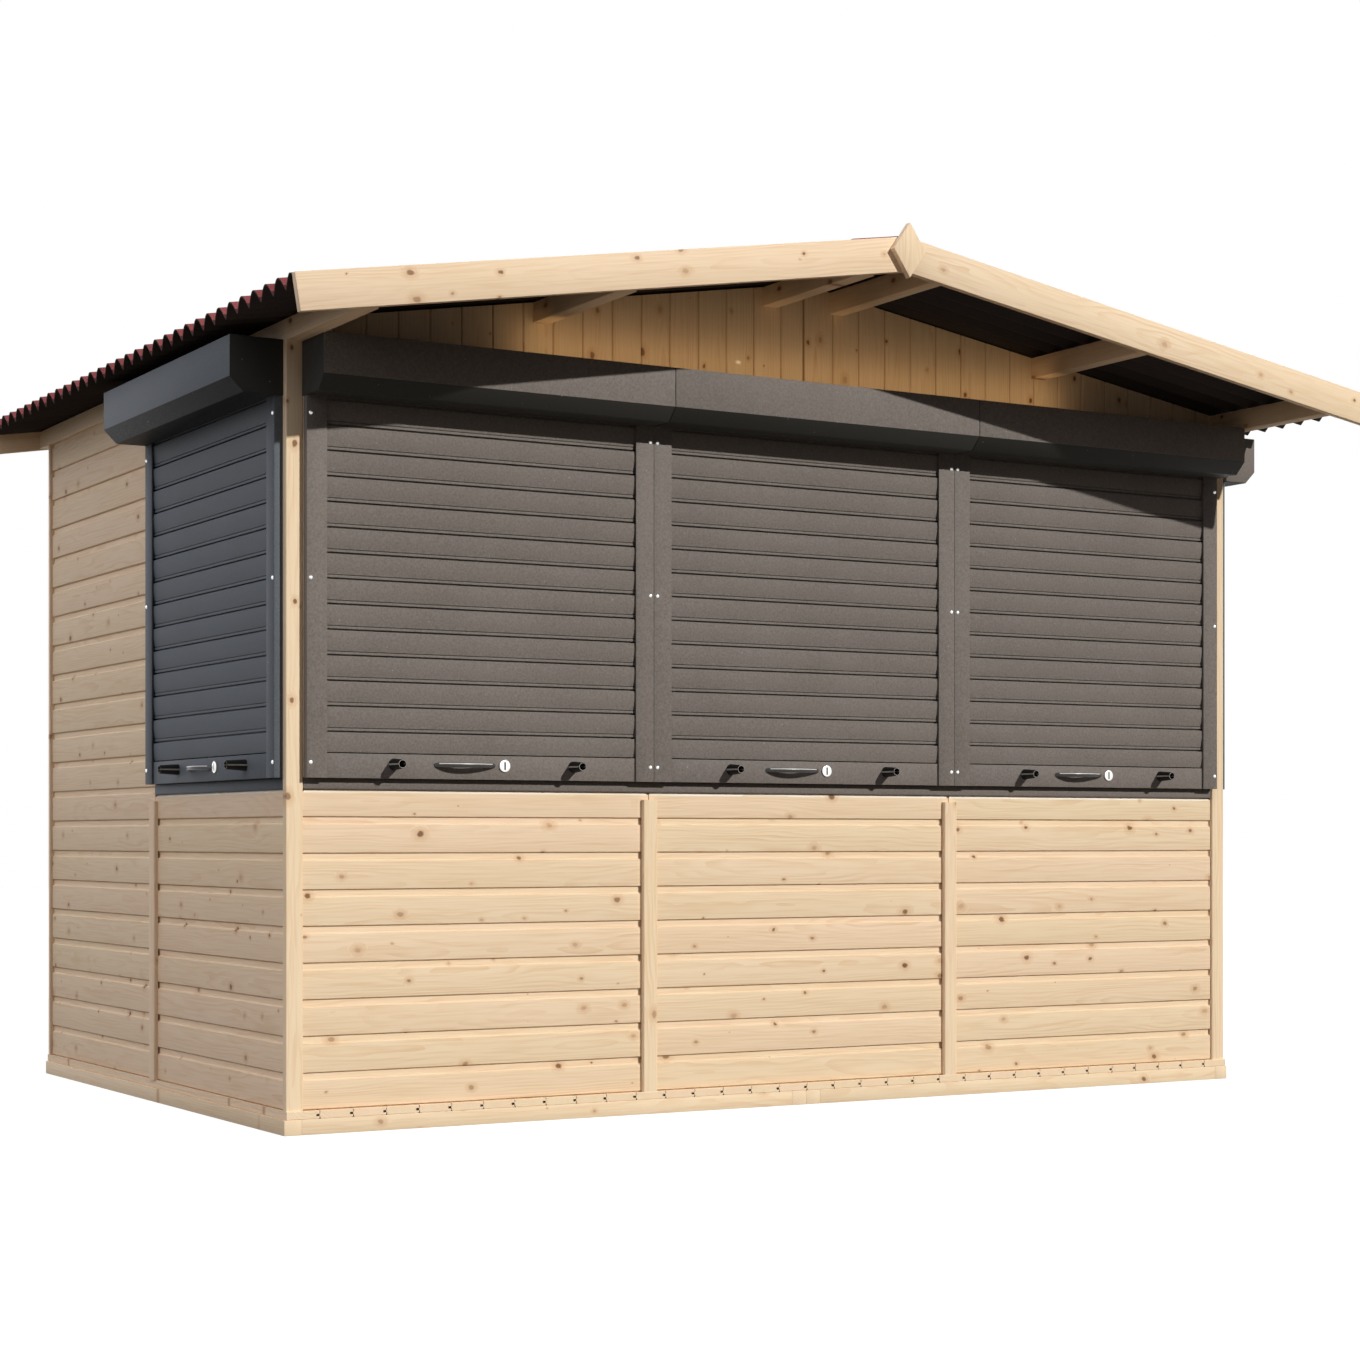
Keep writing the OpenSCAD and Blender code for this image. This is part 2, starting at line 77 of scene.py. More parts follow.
# Places that tell pieces apart: purlins beyond the gables, fittings on the sides and the back
OUTER_PURLIN_X = 1.2
SIDE_FITTING_X = 1.5
BACK_FITTING_Y = 1.0

# Where a board was cut from its log: start along it, and reach of the pith across and below
LOG_L = 40
PITH_ACROSS = 50 * MM
PITH_LOW = 30 * MM
PITH_HIGH = 90 * MM

# Wall boards
BOARD_PITCH = 88.8 * MM
BOARD_T = 19 * MM
COVE_LOW = 71.3 * MM
COVE_TOP = 74.5 * MM
COVE_DEPTH = 5.5 * MM
JOINT_GAP = 3.2 * MM
JOINT_DEPTH = 8 * MM
BOARD_EDGE = 0.8 * MM
END_GAP = 1.4 * MM
APRON_CHAMFER = 7 * MM
BATTEN_W = 45 * MM
SAWN_EDGE = 1.2 * MM

# Gable boards, from the seam under the ridge outwards
GABLE_PITCH = 86.2 * MM
GABLE_LEFT_FIRST = 71.3 * MM
GABLE_RIGHT_FIRST = 94.4 * MM
GABLE_BEVEL = 2.6 * MM
GABLE_GAP = 1.8 * MM
GABLE_SEAM = 7 * MM
NOTCH_ROOM = 0.5 * MM

# Floor
DECK_PITCH = 88 * MM
DECK_FIRST = 85.7 * MM
TONGUE_L = 5.5 * MM
TONGUE_TIP = 2.6 * MM
TONGUE_LOW = 6.5 * MM
TONGUE_TOP = 12 * MM
DECK_GAP = 2.2 * MM
DECK_NOTCH = 3 * MM
DECK_END_EDGE = 1.2 * MM
JOIST_T = 45 * MM
CROSS_JOISTS = 7

# Roof
ROOF_PITCH = math.radians(9.3)
ROOF_SIN = math.sin(ROOF_PITCH)
ROOF_COS = math.cos(ROOF_PITCH)
WAVE_PITCH = 76 * MM
WAVE_H = 33 * MM
WAVE_STEPS = 19
WAVE_START_LEFT = -6 * MM
WAVE_START_RIGHT = 35.5 * MM
WAVE_FULLNESS = 0.52
SHEET_T = 3 * MM
SHEET_ROWS = 6
CAP_EDGE = 1 * MM
NAIL_CAP_D = 22 * MM
NAIL_CAP_H = 7 * MM
NAIL_SUNK = 1 * MM
NAIL_FROM_RIDGE = 200 * MM
NAIL_EVERY = 2

# Shutters: rows of a slat's section as heights above its lower edge and depths behind its crown
SLAT_PITCH = 62 * MM
SLAT_GAP_H = 4.6 * MM
SLAT_GAP_DEPTH = 10.4 * MM
SLAT_LIP_H = 6.2 * MM
SLAT_LIP_DEPTH = 4 * MM
SLAT_CREASE_H = 1.8 * MM
SLAT_CREASE_DEPTH = 7.5 * MM
SLAT_CROWN_H = 50 * MM
SLAT_ARC = 165 * MM
SLAT_ARC_ROWS = 6
SLAT_TOP_ROUND = 1.6 * MM
SLAT_STEP = 0.3 * MM
SLAT_START = 48.5 * MM
BAR_H = 60.3 * MM
BAR_TOP_GAP = 2.7 * MM
METAL_EDGE = 1.4 * MM
SILL_EDGE = 4.2 * MM
GUIDE_EDGE = 0.3 * MM
BOX_EDGE = 1.2 * MM
BOX_GAP = 0.7 * MM

# Fittings
SCREW_HEIGHTS = (901.5 * MM, 1347 * MM, 1745 * MM)
SCREW_INSET = 10 * MM
SCREW_D = 10.5 * MM
SCREW_H = 3.4 * MM
HEAD_SIDES = 16
HEAD_RINGS = 10
STOP_SIDES = 40
STOP_END_D = 22 * MM
STOP_BORE_D = 17 * MM
STOP_BORE_L = 35 * MM
RIM_ROUND = 0.6 * MM
HANDLE_ROUND = 3.6 * MM
# Share of a bow's half length that carries the painted highlight
HANDLE_HIGHLIGHT = 0.8
HINGE_EDGE = 0.6 * MM
LOCK_SIDES = 48
LOCK_EDGE = 0.8 * MM
LOCK_SLOT_L = 20 * MM
LOCK_SLOT_W = 4.5 * MM
LOCK_SLOT_D = 2 * MM
KEYWAY_T = 0.6 * MM

# Camera, fitted to the photograph
CAMERA_AT = (-3.8308, -6.6701, 0.7174)
CAMERA_YAW = math.radians(30.328)
CAMERA_LENS = 68.76
CAMERA_SHIFT_Y = 0.1164
SENSOR_W = 36

# Light and floor
WORLD_DIM = 0.08
FLOOR_SIZE = 60
FLOOR_GREY = (0.25, 0.25, 0.25, 1)
FLOOR_GLOW = 0.9
WHITE = (1, 1, 1, 1)
BOUNCE_SHARE = 1.2
BOUNCE_W = 100 * MM
BOUNCE_POWER = 0.55
BOUNCE_ABOVE = 15 * MM
BOUNCE_TOWARDS = (0, -0.9, -0.45)


def select(pieces):
    """Leaves these pieces selected, with the first one active."""
    bpy.ops.object.select_all(action="DESELECT")
    for piece in pieces:
        piece.select_set(True)
    bpy.context.view_layer.objects.active = pieces[0]


def only(obj):
    """Leaves one object selected and active."""
    select([obj])


def mode(kind):
    """Opens the active object's mesh, or closes it."""
    bpy.ops.object.mode_set(mode=kind)


def apply_place():
    """Applies the place, turn and scale of what is selected."""
    bpy.ops.object.transform_apply(location=True, rotation=True, scale=True)


def block(name, low, high):
    """A squared block between two corners."""
    low, high = Vector(low), Vector(high)
    bpy.ops.object.select_all(action="DESELECT")
    bpy.ops.mesh.primitive_cube_add(size=1, location=(low + high) / 2)
    obj = bpy.context.object
    obj.name = name
    obj.scale = high - low
    apply_place()
    return obj


def pick(obj, kind, test):
    """Selects the open mesh's verts, edges or faces that pass a test."""
    bpy.ops.mesh.select_mode(type={"verts": "VERT", "edges": "EDGE", "faces": "FACE"}[kind])
    bpy.ops.mesh.select_all(action="DESELECT")
    bm = bmesh.from_edit_mesh(obj.data)
    for item in getattr(bm, kind):
        if test(item):
            item.select_set(True)
    bm.select_flush_mode()
    bmesh.update_edit_mesh(obj.data)


def shift(obj, test, by):
    """Moves the vertices that pass a test."""
    pick(obj, "verts", lambda v: test(v.co))
    bpy.ops.transform.translate(value=by)


def cut(point, normal):
    """Cuts the open mesh along a plane."""
    bpy.ops.mesh.select_all(action="SELECT")
    bpy.ops.mesh.bisect(plane_co=point, plane_no=normal)


def trim(obj, point, normal, close=True):
    """Cuts away all that lies beyond a plane, and closes the cut of a solid."""
    only(obj)
    mode("EDIT")
    bpy.ops.mesh.select_all(action="SELECT")
    bpy.ops.mesh.bisect(plane_co=point, plane_no=normal, use_fill=close, clear_outer=True)
    mode("OBJECT")


def ease(obj, test, width, segments):
    """Rounds the edges of the open mesh that pass a test."""
    pick(obj, "edges", test)
    bpy.ops.mesh.bevel(offset=width, segments=segments, affect="EDGES", clamp_overlap=True)


def modify(obj, kind, **settings):
    """Adds a modifier and applies it."""
    only(obj)
    modifier = obj.modifiers.new(kind.lower(), kind)
    for key, value in settings.items():
        setattr(modifier, key, value)
    bpy.ops.object.modifier_apply(modifier=modifier.name)


def repeat(obj, count, step, **settings):
    """Sets copies of a piece in a row."""
    modify(obj, "ARRAY", count=count, use_relative_offset=False, use_constant_offset=True,
           constant_offset_displace=step, **settings)


def soften(obj, width, segments=2):
    """Breaks all sharp edges of a piece."""
    modify(obj, "BEVEL", width=width, segments=segments, limit_method="ANGLE",
           angle_limit=SHARP_ANGLE)


def stand(obj, origin, turn):
    """Puts a piece that was modelled in a wall's own frame in its place."""
    only(obj)
    obj.location = origin
    obj.rotation_euler = (0, 0, turn)
    apply_place()


def join(name, pieces):
    """Joins pieces into one mesh."""
    select(pieces)
    if len(pieces) > 1:
        bpy.ops.object.join()
    pieces[0].name = name
    pieces[0].data.name = name
    return pieces[0]


def copies(node):
    """A node's solids as separate clean meshes, one object each, in a steady order."""
    only(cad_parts[node])
    bpy.ops.object.duplicate()
    obj = bpy.context.object
    obj.parent = None
    for key in list(obj.keys()):
        del obj[key]
    mode("EDIT")
    bpy.ops.mesh.select_all(action="SELECT")
    bpy.ops.mesh.remove_doubles(threshold=WELD)
    bpy.ops.mesh.dissolve_limited(angle_limit=FLAT_ANGLE)
    bpy.ops.mesh.separate(type="LOOSE")
    mode("OBJECT")
    parts = [o for o in bpy.context.selected_objects if o.type == "MESH"]
    return sorted(parts, key=lambda o: tuple(round(c, 4) for c in extent(o)[0]))


def extent(obj):
    """Lowest and highest corner of a mesh that sits at the origin."""
    points = np.array([v.co for v in obj.data.vertices])
    return Vector(points.min(0)), Vector(points.max(0))


def seats(node):
    """Boxes of a node's separate solids."""
    parts = copies(node)
    boxes = [extent(part) for part in parts]
    for part in parts:
        bpy.data.objects.remove(part)
    return boxes


def thickness(node):
    """Size of a front node from front to back."""
    low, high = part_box(node)
    return high.y - low.y


def mark_grain(obj, along, across, board_of=None):
    """Writes each board's own wood coordinates, along, across and through, its tone, and which of
    its faces show end grain."""
    mesh = obj.data
    points = np.array([v.co for v in mesh.vertices])
    corner_vertex = np.zeros(len(mesh.loops), np.int32)
    mesh.loops.foreach_get("vertex_index", corner_vertex)
    totals = np.array([p.loop_total for p in mesh.polygons])
    numbers = np.array([board_of(p.center) if board_of else 0 for p in mesh.polygons])
    through = along.cross(across)
    axes = np.array([along, across, through])
    space = points[corner_vertex] @ axes.T
    tones = np.zeros(len(mesh.loops))
    corner_number = np.repeat(numbers, totals)
    for number in sorted(set(numbers.tolist())):
        chance = random.Random("%s %d" % (obj.name, number))
        mine = corner_number == number
        middle = (space[mine].min(0) + space[mine].max(0)) / 2
        pith = np.array([chance.uniform(0, LOG_L), chance.uniform(-PITH_ACROSS, PITH_ACROSS),
                         chance.uniform(PITH_LOW, PITH_HIGH)])
        space[mine] += pith - middle * np.array([0, 1, 1])
        tones[mine] = chance.uniform(-1, 1)
    grain = mesh.attributes.new("grain", "FLOAT_VECTOR", "CORNER")
    grain.data.foreach_set("vector", space.astype(np.float32).ravel())
    tone = mesh.attributes.new("tone", "FLOAT", "CORNER")
    tone.data.foreach_set("value", tones.astype(np.float32))
    at_end = np.array([abs(p.normal.dot(along)) > END_GRAIN for p in mesh.polygons])
    end = mesh.attributes.new("end_grain", "FLOAT", "CORNER")
    end.data.foreach_set("value", np.repeat(at_end, totals).astype(np.float32))


def hand_in(obj, material, slot, *nodes):
    """Gives a finished piece its material, smooth shading and its body, and hides the nodes it stands
    for.
    """
    obj.data.materials.clear()
    obj.data.materials.append(material)
    only(obj)
    bpy.ops.object.shade_smooth_by_angle(angle=SMOOTH_ANGLE)
    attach(obj, "root")
    if nodes:
        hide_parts(*nodes)
    return obj


# Materials

def srgb(hex_colour):
    """An sRGB hex colour as linear RGBA."""
    parts = [int(hex_colour[i:i + 2], 16) / 255 for i in (1, 3, 5)]
    return tuple(c / 12.92 if c <= 0.04045 else ((c + 0.055) / 1.055) ** 2.4 for c in parts) + (1.0,)


def add(tree, kind, inputs=None, **settings):
    """Adds a node with its settings, constants and links."""
    node = tree.nodes.new("ShaderNode" + kind)
    for key, value in settings.items():
        setattr(node, key, value)
    for key, value in (inputs or {}).items():
        if isinstance(value, bpy.types.NodeSocket):
            tree.links.new(value, node.inputs[key])
        else:
            node.inputs[key].default_value = value
    return node


def finish_named(name):
    """An empty procedural material with its shader."""
    material = bpy.data.materials.new(name)
    material.use_nodes = True
    tree = material.node_tree
    shader = tree.nodes["Principled BSDF"]
    return material, tree, shader


def planed_spruce(name, hex_cool, hex_warm):
    """Planed, untreated spruce: pale straw colour, soft growth lines that swing round small brown
    knots of ragged outline, fine fibres, a tone of its own on every board and a dull silky surface."""
    material, tree, shader = finish_named(name)
    ring = 5.5 * MM
    ring_drift = 50 * MM
    ring_swing = 12 * MM
    knot_cell = 88 * MM
    knot_most = 8.5 * MM
    knot_none = 0.01 * MM
    knot_ragged = 7 * MM
    ragged_size = 16 * MM
    relief_depth = 0.4 * MM
    # Cycles a metre along, across and through a board: drifts of 625 by 111 mm, streaks of
    # 455 by 26 mm and fibres of 167 by 5 mm, which are drawn coarser than real so that they show
    drift_rate = (1.6, 9, 9)
    streak_rate = (2.2, 38, 38)
    fibre_rate = (6, 210, 210)
    space = add(tree, "Attribute", attribute_name="grain").outputs["Vector"]
    tone = add(tree, "Attribute", attribute_name="tone").outputs["Fac"]
    end = add(tree, "Attribute", attribute_name="end_grain").outputs["Fac"]
    parts = add(tree, "SeparateXYZ", {0: space})
    # Knots lie in some cells of a loose net over the board's face, longer along the grain
    face = add(tree, "VectorMath", {0: space, 1: (0.72, 1, 0)}, operation="MULTIPLY").outputs[0]
    ragged = add(tree, "TexNoise", {"Vector": space, "Scale": 1 / ragged_size,
                                    "Detail": 3.0}).outputs["Color"]
    bent = add(tree, "VectorMath", {0: ragged, 1: (knot_ragged, knot_ragged, 0), 2: face},
               operation="MULTIPLY_ADD").outputs[0]
    knots = add(tree, "TexVoronoi", {"Vector": bent, "Scale": 1 / knot_cell, "Randomness": 0.95},
                voronoi_dimensions="2D")
    chance = add(tree, "SeparateColor", {0: knots.outputs["Color"]})
    away = add(tree, "Math", {0: knots.outputs["Distance"], 1: knot_cell},
               operation="MULTIPLY").outputs[0]
    size = add(tree, "MapRange", {0: chance.outputs[0], 1: 0.54, 2: 1.0,
                                  3: knot_none, 4: knot_most}).outputs[0]
    radius = add(tree, "MapRange", {0: end, 3: size, 4: knot_none}).outputs[0]
    share = add(tree, "Math", {0: away, 1: radius}, operation="DIVIDE").outputs[0]
    knot = add(tree, "MapRange", {0: share, 1: 0.55, 2: 1.1, 3: 1.0, 4: 0.0},
               interpolation_type="SMOOTHSTEP").outputs[0]
    halo = add(tree, "MapRange", {0: share, 1: 0.8, 2: 3.0, 3: 1.0, 4: 0.0},
               interpolation_type="SMOOTHSTEP").outputs[0]
    # Growth lines are rings round a pith below the face, bent by slow noise and by the knots
    across = add(tree, "CombineXYZ", {0: parts.outputs[1], 1: parts.outputs[2]}).outputs[0]
    pith = add(tree, "VectorMath", {0: across}, operation="LENGTH").outputs["Value"]
    slow = add(tree, "VectorMath", {0: space, 1: drift_rate}, operation="MULTIPLY").outputs[0]
    drift = add(tree, "TexNoise", {"Vector": slow, "Scale": 1.0, "Detail": 3.0}).outputs[0]
    bend = add(tree, "Math", {0: drift, 1: ring_drift, 2: pith}, operation="MULTIPLY_ADD").outputs[0]
    swing = add(tree, "Math", {0: halo, 1: ring_swing, 2: bend}, operation="MULTIPLY_ADD").outputs[0]
    rings = add(tree, "Math", {0: swing, 1: ring}, operation="DIVIDE").outputs[0]
    saw = add(tree, "Math", {0: rings}, operation="FRACT").outputs[0]
    late = add(tree, "MapRange", {0: saw, 1: 0.35, 2: 0.95, 3: 0.0, 4: 1.0},
               interpolation_type="SMOOTHSTEP").outputs[0]
    streaked = add(tree, "VectorMath", {0: space, 1: streak_rate}, operation="MULTIPLY").outputs[0]
    patch = add(tree, "TexNoise", {"Vector": streaked, "Scale": 1.0, "Detail": 2.0}).outputs[0]
    strength = add(tree, "MapRange", {0: patch, 1: 0.35, 2: 0.75, 3: 0.06, 4: 0.7}).outputs[0]
    lines = add(tree, "Math", {0: late, 1: strength}, operation="MULTIPLY").outputs[0]
    warm = add(tree, "MapRange", {0: tone, 1: -1.0, 2: 1.0, 3: 0.0, 4: 1.0}).outputs[0]
    early = add(tree, "Mix", {0: warm, 6: srgb(hex_cool), 7: srgb(hex_warm)},
                data_type="RGBA").outputs[2]
    wood = add(tree, "Mix", {0: lines, 6: early, 7: srgb("#D9B38C")}, data_type="RGBA").outputs[2]
    cloud = add(tree, "MapRange", {0: drift, 1: 0.3, 2: 0.7, 3: 0.0, 4: 0.45}).outputs[0]
    wood = add(tree, "Mix", {0: cloud, 6: wood, 7: srgb("#E6CBA8")}, data_type="RGBA").outputs[2]
    thread = add(tree, "VectorMath", {0: space, 1: fibre_rate}, operation="MULTIPLY").outputs[0]
    fibres = add(tree, "TexNoise", {"Vector": thread, "Scale": 1.0, "Detail": 2.0}).outputs[0]
    fleck = add(tree, "MapRange", {0: fibres, 1: 0.45, 2: 0.75, 3: 0.0, 4: 0.3}).outputs[0]
    shown = add(tree, "MapRange", {0: end, 3: fleck, 4: 0.0}).outputs[0]
    wood = add(tree, "Mix", {0: shown, 6: wood, 7: srgb("#CFA67A")}, data_type="RGBA").outputs[2]
    ringed = add(tree, "Math", {0: halo, 1: 0.4}, operation="MULTIPLY").outputs[0]
    wood = add(tree, "Mix", {0: ringed, 6: wood, 7: srgb("#CB9A6C")}, data_type="RGBA").outputs[2]
    depth = add(tree, "MapRange", {0: chance.outputs[1], 3: 0.2, 4: 0.95}).outputs[0]
    heart = add(tree, "Math", {0: knot, 1: depth}, operation="MULTIPLY").outputs[0]
    wood = add(tree, "Mix", {0: heart, 6: wood, 7: srgb("#70482B")}, data_type="RGBA").outputs[2]
    tree.links.new(wood, shader.inputs["Base Color"])
    relief = add(tree, "Math", {0: knot, 1: 0.6, 2: lines}, operation="MULTIPLY_ADD").outputs[0]
    bump = add(tree, "Bump", {"Strength": 0.25, "Distance": relief_depth, "Height": relief})
    tree.links.new(bump.outputs[0], shader.inputs["Normal"])
    shader.inputs["Roughness"].default_value = 0.62
    shader.inputs["Specular IOR Level"].default_value = 0.25
    return material


def powder_coat(name, hex_dark, hex_light):
    """Fine-textured polyester powder coat on aluminium: dull, with a fine leathery grain and a
    few pale specks."""
    material, tree, shader = finish_named(name)
    # The real grain is under a millimetre, and is drawn at 5 mm so that it shows
    grain_size = 5 * MM
    grain_depth = 0.15 * MM
    cloud_size = 180 * MM
    speck_cell = 14 * MM
    place = add(tree, "TexCoord").outputs["Object"]
    grain = add(tree, "TexNoise", {"Vector": place, "Scale": 1 / grain_size, "Detail": 2.0}).outputs[0]
    cloud = add(tree, "TexNoise", {"Vector": place, "Scale": 1 / cloud_size, "Detail": 2.0}).outputs[0]
    both = add(tree, "Math", {0: cloud, 1: 0.25, 2: grain}, operation="MULTIPLY_ADD").outputs[0]
    mottle = add(tree, "MapRange", {0: both, 1: 0.4, 2: 0.85, 3: 0.0, 4: 1.0}).outputs[0]
    paint = add(tree, "Mix", {0: mottle, 6: srgb(hex_dark), 7: srgb(hex_light)},
                data_type="RGBA").outputs[2]
    specks = add(tree, "TexVoronoi", {"Vector": place, "Scale": 1 / speck_cell})
    chance = add(tree, "SeparateColor", {0: specks.outputs["Color"]}).outputs[0]
    size = add(tree, "MapRange", {0: chance, 1: 0.9, 2: 1.0, 3: 0.0, 4: 0.13}).outputs[0]
    speck = add(tree, "Math", {0: specks.outputs["Distance"], 1: size},
                operation="LESS_THAN").outputs[0]
    pale = add(tree, "Math", {0: speck, 1: 0.5}, operation="MULTIPLY").outputs[0]
    paint = add(tree, "Mix", {0: pale, 6: paint, 7: srgb("#BDB5AE")}, data_type="RGBA").outputs[2]
    tree.links.new(paint, shader.inputs["Base Color"])
    rough = add(tree, "MapRange", {0: grain, 1: 0.3, 2: 0.7, 3: 0.5, 4: 0.66}).outputs[0]
    tree.links.new(rough, shader.inputs["Roughness"])
    bump = add(tree, "Bump", {"Strength": 0.2, "Distance": grain_depth, "Height": grain})
    tree.links.new(bump.outputs[0], shader.inputs["Normal"])
    shader.inputs["Specular IOR Level"].default_value = 0.08
    return material


def bitumen_sheet(name, hex_dark, hex_light):
    """Pressed bitumen fibre sheet: matt, with a felted grain and cloudy pigment."""
    material, tree, shader = finish_named(name)
    felt_size = 5 * MM
    felt_depth = 0.5 * MM
    cloud_size = 220 * MM
    place = add(tree, "TexCoord").outputs["Object"]
    felt = add(tree, "TexNoise", {"Vector": place, "Scale": 1 / felt_size, "Detail": 4.0}).outputs[0]
    cloud = add(tree, "TexNoise", {"Vector": place, "Scale": 1 / cloud_size, "Detail": 3.0}).outputs[0]
    both = add(tree, "Math", {0: felt, 1: 0.6, 2: cloud}, operation="MULTIPLY_ADD").outputs[0]
    mottle = add(tree, "MapRange", {0: both, 1: 0.55, 2: 1.05, 3: 0.0, 4: 1.0}).outputs[0]
    colour = add(tree, "Mix", {0: mottle, 6: srgb(hex_dark), 7: srgb(hex_light)},
                 data_type="RGBA").outputs[2]
    tree.links.new(colour, shader.inputs["Base Color"])
    bump = add(tree, "Bump", {"Strength": 0.5, "Distance": felt_depth, "Height": felt})
    tree.links.new(bump.outputs[0], shader.inputs["Normal"])
    shader.inputs["Roughness"].default_value = 0.8
    shader.inputs["Specular IOR Level"].default_value = 0.15
    return material


def moulded(name, hex_dark, hex_light, roughness, gloss, grain_size, bump_height):
    """Moulded plastic or rubber: one even colour, black, or pale where it is a painted highlight, with
    a fine eroded mould grain."""
    spread = 0.08
    material, tree, shader = finish_named(name)
    place = add(tree, "TexCoord").outputs["Object"]
    grain = add(tree, "TexNoise", {"Vector": place, "Scale": 1 / grain_size, "Detail": 2.0}).outputs[0]
    colour = add(tree, "Mix", {0: grain, 6: srgb(hex_dark), 7: srgb(hex_light)},
                 data_type="RGBA").outputs[2]
    tree.links.new(colour, shader.inputs["Base Color"])
    rough = add(tree, "MapRange", {0: grain, 3: roughness - spread, 4: roughness + spread}).outputs[0]
    tree.links.new(rough, shader.inputs["Roughness"])
    bump = add(tree, "Bump", {"Strength": 0.3, "Distance": bump_height, "Height": grain})
    tree.links.new(bump.outputs[0], shader.inputs["Normal"])
    shader.inputs["Specular IOR Level"].default_value = gloss
    return material


def plated(name, hex_colour, roughness):
    """Plated steel: bright, slightly clouded, with fine rubbing marks."""
    material, tree, shader = finish_named(name)
    mark_size = 6 * MM
    spread = 0.1
    place = add(tree, "TexCoord").outputs["Object"]
    rubbed = add(tree, "VectorMath", {0: place, 1: (1, 1, 9)}, operation="MULTIPLY").outputs[0]
    marks = add(tree, "TexNoise", {"Vector": rubbed, "Scale": 1 / mark_size, "Detail": 3.0}).outputs[0]
    colour = add(tree, "Mix", {0: marks, 6: srgb(hex_colour), 7: srgb("#F4F3F0")},
                 data_type="RGBA").outputs[2]
    tree.links.new(colour, shader.inputs["Base Color"])
    rough = add(tree, "MapRange", {0: marks, 3: roughness - spread, 4: roughness + spread}).outputs[0]
    tree.links.new(rough, shader.inputs["Roughness"])
    shader.inputs["Metallic"].default_value = 1.0
    return material


spruce = planed_spruce("planed_spruce", "#ECD5B5", "#EED3B7")
# Near-white spruce for a painted highlight on the sunlit top chamfers of the aprons
highlight_spruce = planed_spruce("freshly_sawn_spruce", "#FFF9F0", "#FFF8EE")
coat = powder_coat("umber_powder_coat", "#6C645F", "#807873")
# Darker, bluer copy of the umber coat for the side shutters: painted shade and painted sky reflection
# of the shaded sides
shaded_side_coat = powder_coat("anthracite_powder_coat", "#55595D", "#62666C")
# Darker copies of the coat for painted shade on the boxes' slanted covers and end plates
shade_coat = powder_coat("dark_powder_coat", "#34322F", "#393734")
deep_shade_coat = powder_coat("black_powder_coat", "#1B1B1B", "#202020")
red_sheet = bitumen_sheet("red_bitumen_sheet", "#6C3232", "#88474A")
black_sheet = bitumen_sheet("black_bitumen_underside", "#221B18", "#352B26")
black_nylon = moulded("black_nylon", "#121212", "#232221", 0.3, 0.5, 1.2 * MM, 0.05 * MM)
black_rubber = moulded("black_rubber", "#0C0C0C", "#181716", 0.75, 0.15, 1.5 * MM, 0.1 * MM)
nickel = plated("satin_nickel", "#DCDAD6", 0.3)
zinc = plated("zinc_plate", "#B9BBBD", 0.4)
# Pale rubber for a painted highlight on the sunlit rims of the stops' open ends
highlight_rubber = moulded("worn_rubber_rim", "#8C8681", "#A49E98", 0.7, 0.15, 1.5 * MM, 0.1 * MM)
# Pale nylon for a painted highlight along the pull bows' upper edges, where the sun glints
highlight_nylon = moulded("hand_worn_nylon", "#B9B4AF", "#D0CBC6", 0.3, 0.5, 1.2 * MM, 0.05 * MM)


# Floor

def joist_frame(name, node):
    """Half of the floor frame: two runners and the cross joists between them."""
    low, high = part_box(node)
    ends = (low.x, high.x - JOIST_T)
    bars = []
    for x in ends:
        bars.append(block(name, (x, low.y, low.z), (x + JOIST_T, high.y, high.z)))
        soften(bars[-1], SAWN_EDGE)
        mark_grain(bars[-1], Y, X)
    spacing = (high.y - low.y - JOIST_T) / (CROSS_JOISTS - 1)
    for i in range(CROSS_JOISTS):
        y = low.y + i * spacing
        bars.append(block(name, (low.x + JOIST_T, y, low.z), (high.x - JOIST_T, y + JOIST_T, high.z)))
        soften(bars[-1], SAWN_EDGE)
        mark_grain(bars[-1], X, Z)
    hand_in(join(name, bars), spruce, "spruce", node)


def deck_boards():
    """Tongued floor boards, which run from front to back and show their ends."""
    low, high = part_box("floor_deck")
    thick = high.z - low.z
    board = block("deck_boards", (0, 0, 0), (DECK_PITCH, high.y - low.y, thick))
    mode("EDIT")
    cut((0, 0, TONGUE_LOW), Z)
    cut((0, 0, TONGUE_TOP), Z)
    shift(board, lambda p: p.x < NEAR, (DECK_GAP / 2, 0, 0))
    shift(board, lambda p: p.x > DECK_PITCH - NEAR, (-DECK_GAP / 2, 0, 0))

    def strip(face, sign):
        middle = face.calc_center_median()
        return face.normal.x * sign > SQUARE and TONGUE_LOW < middle.z < TONGUE_TOP

    pick(board, "faces", lambda f: strip(f, -1))
    bpy.ops.mesh.extrude_region_move(TRANSFORM_OT_translate={"value": (-TONGUE_L, 0, 0)})
    pick(board, "faces", lambda f: strip(f, 1))
    bpy.ops.mesh.extrude_region_move(TRANSFORM_OT_translate={"value": (-TONGUE_L - TONGUE_TIP, 0, 0)})
    ease(board, lambda e: all(v.co.z < NEAR for v in e.verts)
         and abs(e.verts[0].co.x - e.verts[1].co.x) < NEAR, DECK_NOTCH, 1)
    ease(board, lambda e: all(v.co.y < NEAR and (v.co.z < NEAR or v.co.z > thick - NEAR)
                              for v in e.verts), DECK_END_EDGE, 1)
    mode("OBJECT")
    count = math.ceil((high.x - low.x) / DECK_PITCH) + 1
    start = low.x + DECK_FIRST - DECK_PITCH
    repeat(board, count, (DECK_PITCH, 0, 0))
    stand(board, (start, low.y, low.z), FRONT)
    trim(board, (low.x, 0, 0), -X)
    trim(board, (high.x, 0, 0), X)
    mark_grain(board, Y, X, lambda c: int((c.x - start + TONGUE_L) // DECK_PITCH))
    hand_in(board, spruce, "spruce", "floor_deck")


# Boarded walls

